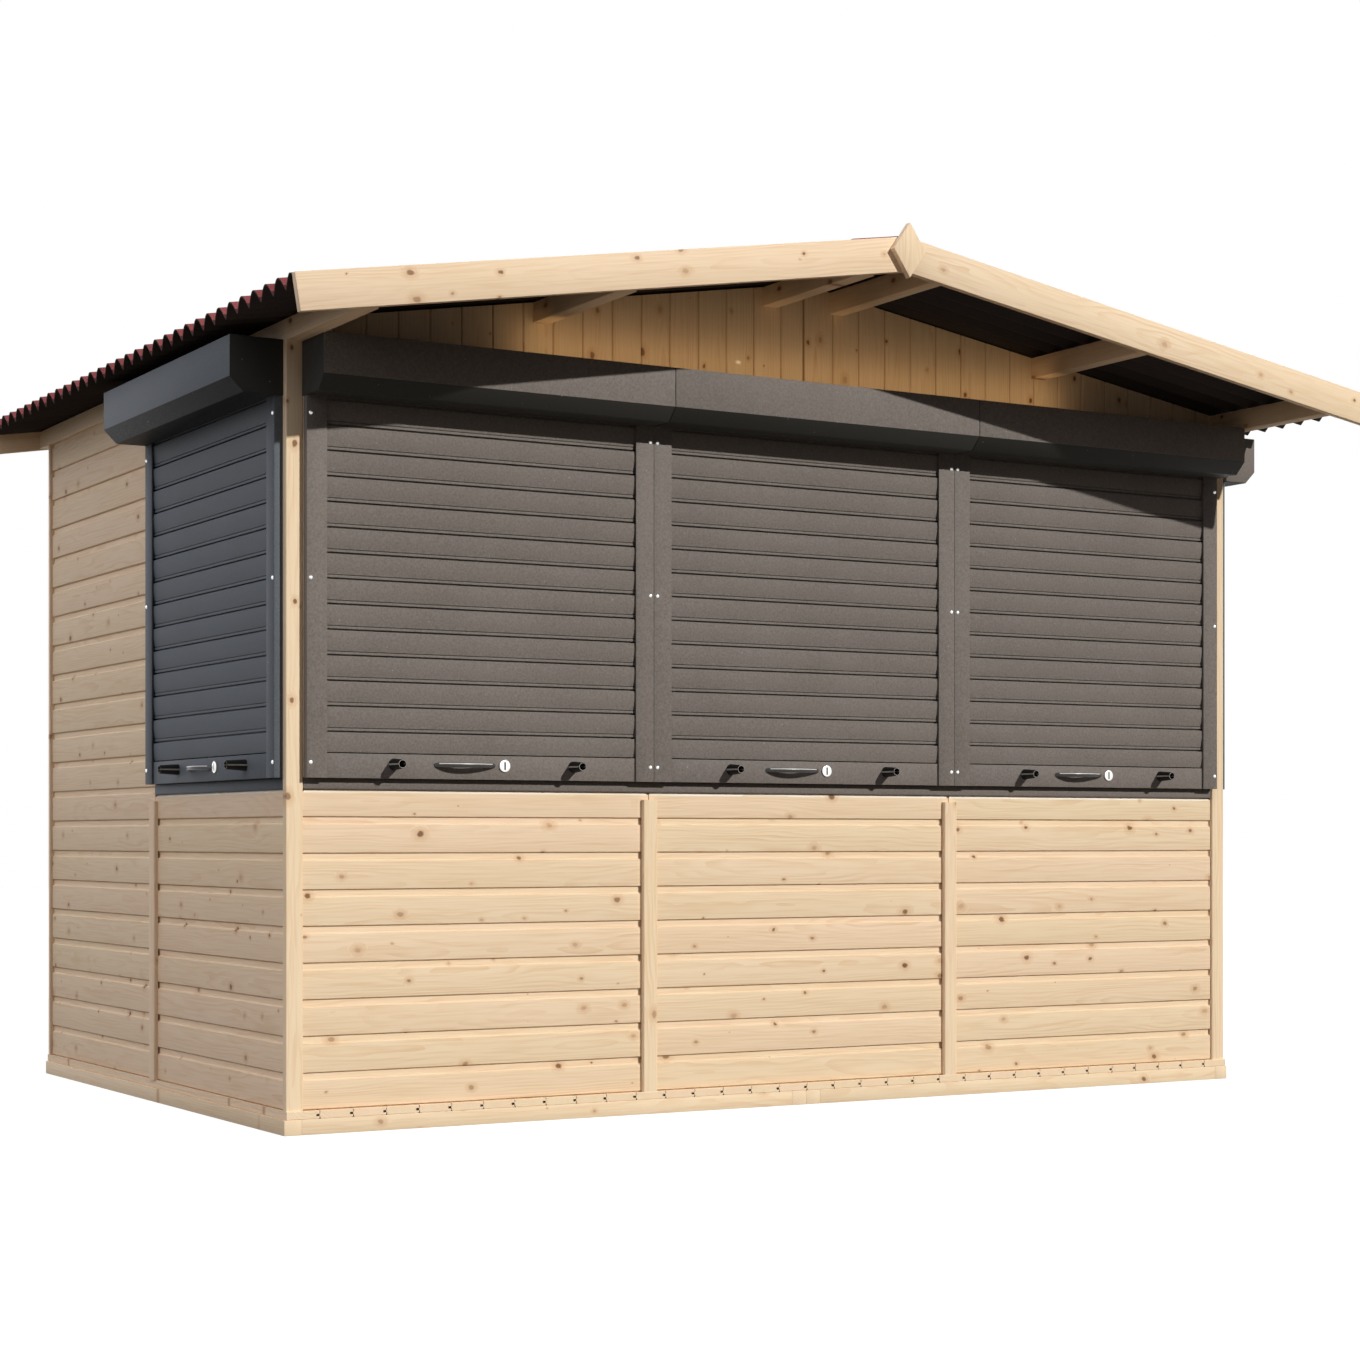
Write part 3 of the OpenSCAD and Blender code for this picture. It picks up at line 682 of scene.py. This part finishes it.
def cladding(name, length, height, chamfer=0.0):
    """Courses of coved boards in a wall's own frame, cut to the panel's height."""
    board = block(name, (0, 0, 0), (length, BOARD_T, BOARD_PITCH))
    mode("EDIT")
    cut((0, 0, COVE_LOW), Z)
    cut((0, 0, COVE_TOP), Z)
    shift(board, lambda p: p.y < NEAR and p.z > COVE_TOP - NEAR, (0, COVE_DEPTH, 0))
    cut((0, JOINT_DEPTH, 0), Y)
    shift(board, lambda p: p.y < NEAR and p.z < NEAR, (0, 0, JOINT_GAP))
    ease(board, lambda e: all(v.co.y < NEAR and v.co.z < JOINT_GAP + NEAR for v in e.verts),
         BOARD_EDGE, 2)
    mode("OBJECT")
    repeat(board, math.ceil(height / BOARD_PITCH), (0, 0, BOARD_PITCH))
    trim(board, (0, 0, height), Z)
    if chamfer:
        mode("EDIT")
        ease(board, lambda e: all(v.co.y < BOARD_T / 2 and v.co.z > height - NEAR for v in e.verts),
             chamfer, 1)
        mode("OBJECT")
    mark_grain(board, X, Z, lambda c: int(c.z // BOARD_PITCH))
    return board


def battens(name, length, height, depth):
    """The frame of battens that a panel's boards are nailed on."""
    rails = [((0, 0), (length, BATTEN_W)), ((0, height - BATTEN_W), (length, height))]
    posts = [(x, BATTEN_W, height - BATTEN_W)
             for x in (0, length / 2 - BATTEN_W / 2, length - BATTEN_W)]
    bars = []
    for (x0, z0), (x1, z1) in rails:
        bars.append(block(name, (x0, BOARD_T, z0), (x1, depth, z1)))
        mark_grain(bars[-1], X, Z)
    for x, z0, z1 in posts:
        if z1 > z0:
            bars.append(block(name, (x, BOARD_T, z0), (x + BATTEN_W, depth, z1)))
            mark_grain(bars[-1], Z, X)
    return bars


def panel(name, length, height, depth, origin, turn, chamfer=0.0):
    """A boarded panel on battens, stood in its place in a wall."""
    boards = cladding(name, length - 2 * END_GAP, height, chamfer)
    stand(boards, (END_GAP, 0, 0), FRONT)
    whole = join(name, [boards] + battens(name, length, height, depth))
    stand(whole, origin, turn)
    return whole


def paint_top_highlight(obj, from_z):
    """Paints a highlight in near-white spruce on the upward sloping faces above a height, where the
    sun catches the top chamfer.
    """
    obj.data.materials.append(highlight_spruce)
    least, most = TOP_HIGHLIGHT_SLOPE
    for face in obj.data.polygons:
        if face.center.z > from_z and least < face.normal.z < most:
            face.material_index = 1


def wall_panel(name, node, turn, chamfer=0.0):
    """A panel in the place of a node that is one wall slab."""
    low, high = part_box(node)
    size = high - low
    origins = {FRONT: (low.x, low.y, low.z), LEFT: (low.x, high.y, low.z),
               RIGHT: (high.x, low.y, low.z), BACK: (high.x, high.y, low.z)}
    lies_along_x = turn in (FRONT, BACK)
    length = size.x if lies_along_x else size.y
    depth = size.y if lies_along_x else size.x
    whole = panel(name, length, size.z, depth, origins[turn], turn, chamfer)
    hand_in(whole, spruce, "spruce", node)
    if chamfer:
        paint_top_highlight(whole, high.z - chamfer)


def side_apron_panels():
    """The two aprons under the side shutters."""
    low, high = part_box("side_aprons")
    size = high - low
    depth = thickness("front_apron_left")
    left = panel("left_apron", size.y, size.z, depth, (low.x, high.y, low.z), LEFT, APRON_CHAMFER)
    right = panel("right_apron", size.y, size.z, depth, (high.x, low.y, low.z), RIGHT, APRON_CHAMFER)
    both = hand_in(join("side_apron_panels", [left, right]), spruce, "spruce", "side_aprons")
    paint_top_highlight(both, high.z - APRON_CHAMFER)


def gable_boards(name, seam, first, outward, low, high):
    """Upright boards from the seam to one end of a gable, square at the top."""
    width = abs((low.x if outward < 0 else high.x) - seam)

    def upright(w):
        board = block(name, (GABLE_GAP / 2, 0, 0), (w - GABLE_GAP / 2, BOARD_T, high.z - low.z))
        mode("EDIT")
        ease(board, lambda e: all(v.co.y < NEAR for v in e.verts)
             and abs(e.verts[0].co.x - e.verts[1].co.x) < NEAR, GABLE_BEVEL, 1)
        mode("OBJECT")
        return board

    start = upright(first)
    row = upright(GABLE_PITCH)
    repeat(row, math.ceil((width - first) / GABLE_PITCH), (GABLE_PITCH, 0, 0))
    stand(row, (first, 0, 0), FRONT)
    boards = join(name, [start, row])
    trim(boards, (width, 0, 0), X)
    trim(boards, (GABLE_SEAM / 2, 0, 0), -X)
    mark_grain(boards, Z, X, lambda c: int((c.x - first) // GABLE_PITCH))
    if outward < 0:
        modify(boards, "MIRROR", use_axis=(True, False, False), use_mirror_merge=False)
        trim(boards, (0, 0, 0), X)
    stand(boards, (seam, low.y, low.z), FRONT)
    return boards


def gable(name, node, seam, first, outward, purlin_seats):
    """One half of a gable, cut under the roof and notched round the purlins."""
    low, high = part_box(node)
    boards = gable_boards(name, seam, first, outward, low, high)
    slope = Vector((outward * ROOF_SIN, 0, ROOF_COS))
    trim(boards, (seam, 0, high.z), slope)
    for purlin_low, purlin_high in purlin_seats:
        room = Vector((NOTCH_ROOM, 0, NOTCH_ROOM))
        tool = block("notch", purlin_low - room, purlin_high + room)
        modify(boards, "BOOLEAN", operation="DIFFERENCE", object=tool, solver="EXACT")
        bpy.data.objects.remove(tool)
    return boards


def gables():
    """Boarded gables over the front and back walls."""
    purlin_seats = seats("purlins")
    inner = [s for s in purlin_seats if abs(s[0].x + s[1].x) / 2 < OUTER_PURLIN_X]
    left = [s for s in inner if s[1].x < 0]
    right = [s for s in inner if s[0].x > 0]
    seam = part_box("front_gable_left")[1].x
    hand_in(gable("front_gable_boards_left", "front_gable_left", seam, GABLE_LEFT_FIRST, -1, left),
            spruce, "spruce", "front_gable_left")
    hand_in(gable("front_gable_boards_right", "front_gable_right", seam, GABLE_RIGHT_FIRST, 1, right),
            spruce, "spruce", "front_gable_right")
    low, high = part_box("back_gable")
    halves = [gable("back_gable_boards", "back_gable", seam, GABLE_LEFT_FIRST, -1, left),
              gable("back_gable_boards", "back_gable", seam, GABLE_RIGHT_FIRST, 1, right)]
    for half in halves:
        stand(half, (2 * seam, low.y + high.y, 0), BACK)
    hand_in(join("back_gable_boards", halves), spruce, "spruce", "back_gable")


def timbers(name, node, along, across, edge):
    """A node's own bars with broken edges and grain along their length."""
    parts = copies(node)
    for i, part in enumerate(parts):
        part.name = "%s.%d" % (name, i)
        if edge:
            soften(part, edge)
        mark_grain(part, along, across)
    hand_in(join(name, parts), spruce, "spruce", node)


# Roof

def eave_line(node, side):
    """Place across the hut of a sheet's lower edge, inside the lean of its end."""
    low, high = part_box(node)
    lean = (WAVE_H + SHEET_T) * ROOF_SIN
    return low.x + lean if side > 0 else high.x - lean


def roof_sheet(name, node, side, wave_start):
    """Corrugated sheet laid down one slope, red above and black below."""
    low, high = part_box(node)
    length = (high.x - low.x - (WAVE_H + SHEET_T) * ROOF_SIN) / ROOF_COS
    run = high.y - low.y
    bpy.ops.object.select_all(action="DESELECT")
    bpy.ops.mesh.primitive_grid_add(x_subdivisions=SHEET_ROWS, y_subdivisions=WAVE_STEPS, size=1)
    sheet = bpy.context.object
    sheet.name = name
    sheet.scale = (length, WAVE_PITCH, 1)
    sheet.location = (side * length / 2, WAVE_PITCH / 2, SHEET_T)
    apply_place()
    mode("EDIT")
    for i in range(WAVE_STEPS + 1):
        y = WAVE_PITCH * i / WAVE_STEPS
        swing = (1 + math.cos(2 * math.pi * (y - wave_start) / WAVE_PITCH)) / 2
        wave = WAVE_H * swing ** WAVE_FULLNESS
        shift(sheet, lambda p: abs(p.y - y) < NEAR, (0, 0, wave))
    mode("OBJECT")
    repeat(sheet, math.ceil(run / WAVE_PITCH), (0, WAVE_PITCH, 0),
           use_merge_vertices=True, merge_threshold=NEAR)
    trim(sheet, (0, run, 0), Y, close=False)
    sheet.data.materials.append(red_sheet)
    sheet.data.materials.append(black_sheet)
    modify(sheet, "SOLIDIFY", thickness=SHEET_T, offset=-1, material_offset=1,
           material_offset_rim=1, use_even_offset=False)
    only(sheet)
    sheet.location = (eave_line(node, side), low.y, low.z)
    sheet.rotation_euler = (0, -side * ROOF_PITCH, 0)
    apply_place()
    bpy.ops.object.shade_smooth_by_angle(angle=SHEET_SMOOTH_ANGLE)
    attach(sheet, "root")
    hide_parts(node)


# Shutters

def metal(name, node, edge, finish):
    """A node's own solids in coated metal with broken edges."""
    parts = copies(node)
    for part in parts:
        soften(part, edge)
    hand_in(join(name, parts), finish, "shutter_metal", node)


def shutter_box(name, node, finish, shaded_cover_finish, end_gap):
    """A shutter's box, whose slanted inspection cover below and end plates carry painted shade in
    darker coats; the right side box's end plates keep the umber coat.
    """
    low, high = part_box(node)
    parts = copies(node)
    on_front = end_gap > 0
    for part in parts:
        if on_front:
            only(part)
            mode("EDIT")
            shift(part, lambda p: p.x < low.x + NEAR, (end_gap, 0, 0))
            shift(part, lambda p: p.x > high.x - NEAR, (-end_gap, 0, 0))
            mode("OBJECT")
        soften(part, BOX_EDGE)
    box = hand_in(join(name, parts), finish, "shutter_metal", node)
    for part_finish in (shaded_cover_finish, shade_coat, coat):
        box.data.materials.append(part_finish)
    shaded_cover_slot, shaded_end_slot, unshaded_end_slot = 1, 2, 3
    # Painted shade: the slanted cover and the end plates get the dark coats, except the right side
    # box's ends
    for face in box.data.polygons:
        at_end = abs(face.normal.x if on_front else face.normal.y) > SQUARE
        if face.normal.z < COVER_SLOPE:
            face.material_index = shaded_cover_slot
        elif at_end:
            face.material_index = shaded_end_slot if on_front or face.center.x < 0 else unshaded_end_slot


def slat_rows():
    """Section of one slat: hook gap, lip, crease and crowned face, from its lower edge up."""
    lip_top = SLAT_GAP_H + SLAT_LIP_H
    face_low = lip_top + SLAT_CREASE_H
    rows = [(SLAT_GAP_H, SLAT_GAP_DEPTH), (SLAT_GAP_H + SLAT_STEP, SLAT_LIP_DEPTH),
            (lip_top, SLAT_LIP_DEPTH), (lip_top + SLAT_STEP, SLAT_CREASE_DEPTH),
            (face_low - SLAT_STEP, SLAT_CREASE_DEPTH)]
    for i in range(SLAT_ARC_ROWS):
        height = face_low + (SLAT_CROWN_H - face_low) * i / (SLAT_ARC_ROWS - 1)
        rows.append((height, (SLAT_CROWN_H - height) ** 2 / (2 * SLAT_ARC)))
    rows.append((SLAT_PITCH - SLAT_TOP_ROUND, (SLAT_PITCH - SLAT_CROWN_H) ** 2 / (2 * SLAT_ARC)))
    rows.append((SLAT_PITCH - SLAT_STEP, SLAT_TOP_ROUND))
    return rows


def curtain(name, width, height, thick, origin, turn):
    """Bottom bar and slats of one shutter, in the wall's own frame with y 0 at the slats' crowns."""
    slat = block(name, (0, 0, 0), (width, thick, SLAT_PITCH))
    rows = slat_rows()
    mode("EDIT")
    for row_h, _ in rows:
        cut((0, 0, row_h), Z)
    shift(slat, lambda p: p.y < NEAR and p.z < NEAR, (0, SLAT_GAP_DEPTH, 0))
    shift(slat, lambda p: p.y < NEAR and p.z > SLAT_PITCH - NEAR, (0, SLAT_GAP_DEPTH, 0))
    for row_h, depth in rows:
        if depth > NEAR:
            shift(slat, lambda p: p.y < NEAR and abs(p.z - row_h) < NEAR, (0, depth, 0))
    mode("OBJECT")
    repeat(slat, math.ceil((height - SLAT_START) / SLAT_PITCH), (0, 0, SLAT_PITCH))
    stand(slat, (0, 0, SLAT_START), FRONT)
    trim(slat, (0, 0, BAR_H + BAR_TOP_GAP), -Z)
    trim(slat, (0, 0, height), Z)
    bar = block(name, (0, 0, 0), (width, thick, BAR_H))
    soften(bar, METAL_EDGE)
    whole = join(name, [slat, bar])
    stand(whole, origin, turn)
    return whole


def curtains():
    """The three front shutters and the two side ones."""
    for place in ("left", "middle", "right"):
        node = "front_curtain_" + place
        low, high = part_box(node)
        size = high - low
        piece = curtain("front_shutter_" + place, size.x, size.z, size.y, low, FRONT)
        hand_in(piece, coat, "shutter_metal", node)
    low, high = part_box("side_curtains")
    thick = thickness("front_curtain_left")
    size = high - low
    left = curtain("left_shutter", size.y, size.z, thick, (low.x, high.y, low.z), LEFT)
    right = curtain("right_shutter", size.y, size.z, thick, (high.x, low.y, low.z), RIGHT)
    # The side shutters carry the painted shade of the sides in their darker coat
    hand_in(join("side_shutters", [left, right]), shaded_side_coat, "shutter_metal", "side_curtains")


# Fittings

def facing(low, high):
    """Turn of the wall that a fitting sits on, and the middle of its seat."""
    middle = (low + high) / 2
    if middle.x < -SIDE_FITTING_X:
        return LEFT, Vector((high.x, middle.y, middle.z))
    if middle.x > SIDE_FITTING_X:
        return RIGHT, Vector((low.x, middle.y, middle.z))
    if middle.y > BACK_FITTING_Y:
        return BACK, Vector((middle.x, low.y, middle.z))
    return FRONT, Vector((middle.x, high.y, middle.z))


def on_seats(name, node, model):
    """A copy of one fitting on each of a node's seats, its own z pointing out of the wall."""
    fittings = []
    for low, high in seats(node):
        turn, seat = facing(low, high)
        fittings.append(model(low, high))
        only(fittings[-1])
        fittings[-1].rotation_euler = (math.pi / 2, 0, turn)
        fittings[-1].location = seat
        apply_place()
    return join(name, fittings)


def rubber_stop(low, high):
    """Tapered tube, open at its outer end."""
    size = high - low
    length = max(size.x, size.y)
    foot_d = min(size.x, size.y)
    bpy.ops.object.select_all(action="DESELECT")
    bpy.ops.mesh.primitive_cone_add(vertices=STOP_SIDES, radius1=foot_d / 2, radius2=STOP_END_D / 2,
                                    depth=length, location=(0, 0, length / 2))
    apply_place()
    tube = bpy.context.object
    mode("EDIT")
    pick(tube, "faces", lambda f: f.normal.z > SQUARE)
    bpy.ops.mesh.inset(thickness=(STOP_END_D - STOP_BORE_D) / 2)
    bpy.ops.mesh.extrude_region_move(TRANSFORM_OT_translate={"value": (0, 0, -STOP_BORE_L)})
    ease(tube, lambda e: all(v.co.z > length - NEAR for v in e.verts)
         and len({round(f.normal.z, 1) for f in e.link_faces}) > 1, RIM_ROUND, 2)
    mode("OBJECT")
    return tube


def shutter_stops():
    """Rubber stops on the shutters' bars, with painted highlights on the rims of their open ends."""
    stops = hand_in(on_seats("shutter_stops", "rubber_stops", rubber_stop), black_rubber,
                    "black_rubber", "rubber_stops")
    stops.data.materials.append(highlight_rubber)
    for face in stops.data.polygons:
        # Only the flat rims of the open ends lie square to a wall and have four corners
        if len(face.vertices) == 4 and max(abs(face.normal.x), abs(face.normal.y)) > RIM_SQUARE:
            face.material_index = 1


def lock_face(low, high):
    """Round lock face with its key slot."""
    size = high - low
    depth = min(size.x, size.y)
    bpy.ops.object.select_all(action="DESELECT")
    bpy.ops.mesh.primitive_cylinder_add(vertices=LOCK_SIDES, radius=size.z / 2, depth=depth,
                                        location=(0, 0, depth / 2))
    apply_place()
    face = bpy.context.object
    soften(face, LOCK_EDGE, 3)
    tool = block("slot", (-LOCK_SLOT_W / 2, -LOCK_SLOT_L / 2, depth - LOCK_SLOT_D),
                 (LOCK_SLOT_W / 2, LOCK_SLOT_L / 2, depth + LOCK_SLOT_D))
    modify(face, "BOOLEAN", operation="DIFFERENCE", object=tool, solver="EXACT")
    bpy.data.objects.remove(tool)
    return face


def keyway(low, high):
    """Dark plug at the bottom of a lock's key slot, painted shade that stands for a deep keyway."""
    size = high - low
    floor_z = min(size.x, size.y) - LOCK_SLOT_D
    plug = block("keyway", (-LOCK_SLOT_W / 2, -LOCK_SLOT_L / 2, floor_z),
                 (LOCK_SLOT_W / 2, LOCK_SLOT_L / 2, floor_z + KEYWAY_T))
    soften(plug, KEYWAY_T / 4, 1)
    return plug


def pull_bows():
    """Rounded pull bows, with a painted highlight in pale nylon along the front of their upper edges.
    """
    bows = copies("pull_handles")
    least, most = BOW_HIGHLIGHT_SLOPE
    for bow in bows:
        soften(bow, HANDLE_ROUND, 4)
        low, high = extent(bow)
        middle = (low + high) / 2
        reach = max(high.x - low.x, high.y - low.y) / 2
        # Painted highlight: the bow's front-upper faces, away from its feet, get pale nylon
        worn = bow.data.attributes.new("worn", "BOOLEAN", "FACE")
        for face in bow.data.polygons:
            away = face.center - middle
            on_edge = least < face.normal.z < most and high.z - low.z < reach
            near_middle = max(abs(away.x), abs(away.y)) < HANDLE_HIGHLIGHT * reach
            worn.data[face.index].value = on_edge and near_middle
    whole = hand_in(join("pull_bows", bows), black_nylon, "black_plastic", "pull_handles")
    whole.data.materials.append(highlight_nylon)
    on_highlight = [item.value for item in whole.data.attributes["worn"].data]
    whole.data.polygons.foreach_set("material_index", [int(value) for value in on_highlight])


def domed_head(across, height):
    """Low domed head of a screw or nail."""
    bpy.ops.object.select_all(action="DESELECT")
    bpy.ops.mesh.primitive_uv_sphere_add(segments=HEAD_SIDES, ring_count=HEAD_RINGS, radius=across / 2)
    head = bpy.context.object
    head.scale = (1, 1, 2 * height / across)
    apply_place()
    trim(head, (0, 0, 0), -Z)
    return head


def settled(heads):
    """Applies the places of many small fittings at once."""
    select(heads)
    apply_place()
    return heads


def roof_nails():
    """Capped nails on every second wave over each purlin, in the sheets' colour."""
    heads = []
    top = WAVE_H + SHEET_T
    lines = [(low.x + high.x) / 2 for low, high in seats("purlins")]
    for node, side, start in (("roof_sheet_left", 1, WAVE_START_LEFT),
                              ("roof_sheet_right", -1, WAVE_START_RIGHT)):
        low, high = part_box(node)
        eave = eave_line(node, side)
        for x in lines:
            if x * side > -NAIL_FROM_RIDGE:
                continue
            up = (side * (x - eave) + top * ROOF_SIN) / ROOF_COS
            z = low.z + up * ROOF_SIN + top * ROOF_COS
            for i in range(1, int((high.y - low.y) / WAVE_PITCH), NAIL_EVERY):
                head = domed_head(NAIL_CAP_D, NAIL_CAP_H)
                head.rotation_euler = (0, -side * ROOF_PITCH, 0)
                head.location = (x, low.y + start + i * WAVE_PITCH, z - NAIL_SUNK)
                heads.append(head)
    hand_in(join("roof_nail_caps", settled(heads)), red_sheet, "roof_sheet")


def guide_screws():
    """Three screws down each shutter guide, near its outer edge."""
    spots = []
    for i, (low, high) in enumerate(sorted(seats("front_guides"), key=lambda b: b[0].x)):
        spots.append((FRONT, high.x - SCREW_INSET if i % 2 else low.x + SCREW_INSET, low.y))
    side_seats = sorted(seats("side_guides"), key=lambda b: b[0].y)
    for turn in (LEFT, RIGHT):
        mine = [b for b in side_seats if (b[0].x < 0) == (turn == LEFT)]
        for i, (low, high) in enumerate(mine):
            x = low.x if turn == LEFT else high.x
            spots.append((turn, x, high.y - SCREW_INSET if i else low.y + SCREW_INSET))
    heads = []
    for turn, x, y in spots:
        for height in SCREW_HEIGHTS:
            head = domed_head(SCREW_D, SCREW_H)
            head.rotation_euler = (math.pi / 2, 0, turn)
            head.location = (x, y, height)
            heads.append(head)
    hand_in(join("guide_screws", settled(heads)), zinc, "zinc_steel")


# Every piece, in the order in which they are made

joist_frame("floor_joists_left", "base_frame_left")
joist_frame("floor_joists_right", "base_frame_right")
deck_boards()
for spot in ("left", "middle", "right"):
    wall_panel("front_panel_" + spot, "front_apron_" + spot, FRONT, APRON_CHAMFER)
side_apron_panels()
wall_panel("left_rear_panel", "left_rear_wall", LEFT)
wall_panel("right_rear_panel", "right_rear_wall", RIGHT)
wall_panel("back_panel_left", "back_wall_left", BACK)
wall_panel("back_panel_right", "back_wall_right", BACK)
wall_panel("back_lintel_panel", "back_lintel", BACK)
wall_panel("boarded_door", "back_door", BACK)
gables()
roof_nails()
timbers("corner_posts", "corner_trims", Z, X, 0)
timbers("joint_strips", "cover_strips", Z, X, 0)
timbers("front_frame_posts", "front_studs", Z, X, SAWN_EDGE)
timbers("side_frame_posts", "side_studs", Z, X, SAWN_EDGE)
timbers("front_head_beam", "front_header", X, Z, SAWN_EDGE)
timbers("side_head_beams", "side_headers", Y, Z, SAWN_EDGE)
timbers("roof_purlins", "purlins", Y, Z, SAWN_EDGE)
slope_up = Vector((ROOF_COS, 0, ROOF_SIN))
slope_down = Vector((ROOF_COS, 0, -ROOF_SIN))
timbers("left_barge", "left_bargeboards", slope_up, slope_up.cross(-Y), SAWN_EDGE)
timbers("right_barge", "right_bargeboards", slope_down, slope_down.cross(-Y), SAWN_EDGE)
timbers("ridge_diamonds", "finials", Z, X, SAWN_EDGE)
roof_sheet("roof_sheet_left_slope", "roof_sheet_left", 1, WAVE_START_LEFT)
roof_sheet("roof_sheet_right_slope", "roof_sheet_right", -1, WAVE_START_RIGHT)
cap = join("ridge_capping", copies("ridge_cap"))
soften(cap, CAP_EDGE)
hand_in(cap, red_sheet, "roof_sheet", "ridge_cap")
metal("front_sill_rail", "front_sill", SILL_EDGE, coat)
metal("side_sill_rails", "side_sills", SILL_EDGE, shaded_side_coat)
guide_screws()
metal("front_shutter_guides", "front_guides", GUIDE_EDGE, coat)
metal("side_shutter_guides", "side_guides", GUIDE_EDGE, shaded_side_coat)
for spot in ("left", "middle", "right"):
    shutter_box("shutter_box_" + spot, "front_box_" + spot, coat, shade_coat, BOX_GAP)
shutter_box("side_shutter_boxes", "side_boxes", shaded_side_coat, deep_shade_coat, 0)
curtains()
shutter_stops()
pull_bows()
hand_in(on_seats("keyways", "locks", keyway), black_nylon, "lock_metal")
hand_in(on_seats("lock_faces", "locks", lock_face), nickel, "lock_metal", "locks")
hinge = join("hinge_straps", copies("door_hinges"))
soften(hinge, HINGE_EDGE)
hand_in(hinge, zinc, "zinc_steel", "door_hinges")


# Camera, light and floor

def camera():
    """Level camera at the photograph's viewing angle."""
    data = bpy.data.cameras.new("camera")
    data.sensor_width = SENSOR_W
    data.lens = CAMERA_LENS
    data.shift_y = CAMERA_SHIFT_Y
    obj = bpy.data.objects.new("camera", data)
    obj.location = CAMERA_AT
    obj.rotation_euler = (math.pi / 2, 0, -CAMERA_YAW)
    bpy.context.scene.collection.objects.link(obj)
    bpy.context.scene.camera = obj


def lamp(name, towards_light, strength, angle, hex_colour):
    """A lamp far away in one direction, with a disc of a given angle."""
    data = bpy.data.lights.new(name, "SUN")
    data.energy = strength
    data.angle = math.radians(angle)
    data.color = srgb(hex_colour)[:3]
    obj = bpy.data.objects.new(name, data)
    obj.rotation_euler = Vector(towards_light).to_track_quat("Z", "Y").to_euler()
    bpy.context.scene.collection.objects.link(obj)


def bounce():
    """Warm light that the sunlit timber throws under the front roof, from a strip over the boxes."""
    gable_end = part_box("front_gable_left")[0].x
    boxes_low, boxes_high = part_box("front_box_middle")
    data = bpy.data.lights.new("bounce", "AREA")
    data.shape = "RECTANGLE"
    data.size = -BOUNCE_SHARE * gable_end
    data.size_y = BOUNCE_W
    data.energy = BOUNCE_POWER
    data.color = srgb("#FFDAA4")[:3]
    obj = bpy.data.objects.new("bounce", data)
    obj.location = (0, (boxes_low.y + boxes_high.y) / 2, boxes_high.z + BOUNCE_ABOVE)
    obj.rotation_euler = Vector(BOUNCE_TOWARDS).to_track_quat("Z", "Y").to_euler()
    obj.visible_camera = False
    obj.visible_glossy = False
    bpy.context.scene.collection.objects.link(obj)


def seen_white(tree):
    """Share of rays that show the plain white background."""
    path = add(tree, "LightPath")
    seen = add(tree, "Math", {0: path.outputs["Is Camera Ray"], 1: path.outputs["Is Glossy Ray"]},
               operation="MAXIMUM").outputs[0]
    return add(tree, "Math", {0: seen, 1: path.outputs["Is Transmission Ray"]},
               operation="MAXIMUM").outputs[0]


def studio():
    """White surround, a pale floor that keeps a faint shadow, a key lamp, two soft fills and the
    strip of bounced light."""
    world = bpy.data.worlds.new("surround")
    bpy.context.scene.world = world
    world.use_nodes = True
    tree = world.node_tree
    tree.nodes.clear()
    dim = add(tree, "Background", {"Color": srgb("#E6ECF5"), "Strength": WORLD_DIM})
    white = add(tree, "Background", {"Color": WHITE, "Strength": 1.0})
    shown = add(tree, "MixShader", {0: seen_white(tree), 1: dim.outputs[0], 2: white.outputs[0]})
    add(tree, "OutputWorld", {0: shown.outputs[0]})
    bpy.ops.object.select_all(action="DESELECT")
    bpy.ops.mesh.primitive_plane_add(size=FLOOR_SIZE)
    floor = bpy.context.object
    floor.name = "floor"
    material, tree, shader = finish_named("pale_floor")
    shader.inputs["Roughness"].default_value = 1.0
    shader.inputs["Specular IOR Level"].default_value = 0.0
    shader.inputs["Base Color"].default_value = srgb("#625A50")
    lit = add(tree, "BsdfDiffuse", {"Color": FLOOR_GREY})
    glow = add(tree, "Emission", {"Color": WHITE, "Strength": FLOOR_GLOW})
    white = add(tree, "AddShader", {0: lit.outputs[0], 1: glow.outputs[0]})
    shown = add(tree, "MixShader", {0: seen_white(tree), 1: shader.outputs[0], 2: white.outputs[0]})
    tree.links.new(shown.outputs[0], tree.nodes["Material Output"].inputs["Surface"])
    floor.data.materials.append(material)
    lamp("key", (0.485, -1.0, 0.573), strength=3.41, angle=0.8, hex_colour="#FBFBF6")
    lamp("fill", (-1.0, -0.05, 0.9), strength=1.6, angle=80, hex_colour="#F6F8FF")
    lamp("back_fill", (0.2, 1.0, 0.45), strength=1.0, angle=80, hex_colour="#F6F8FF")
    bounce()


camera()
studio()
bpy.context.scene.view_settings.view_transform = "Standard"
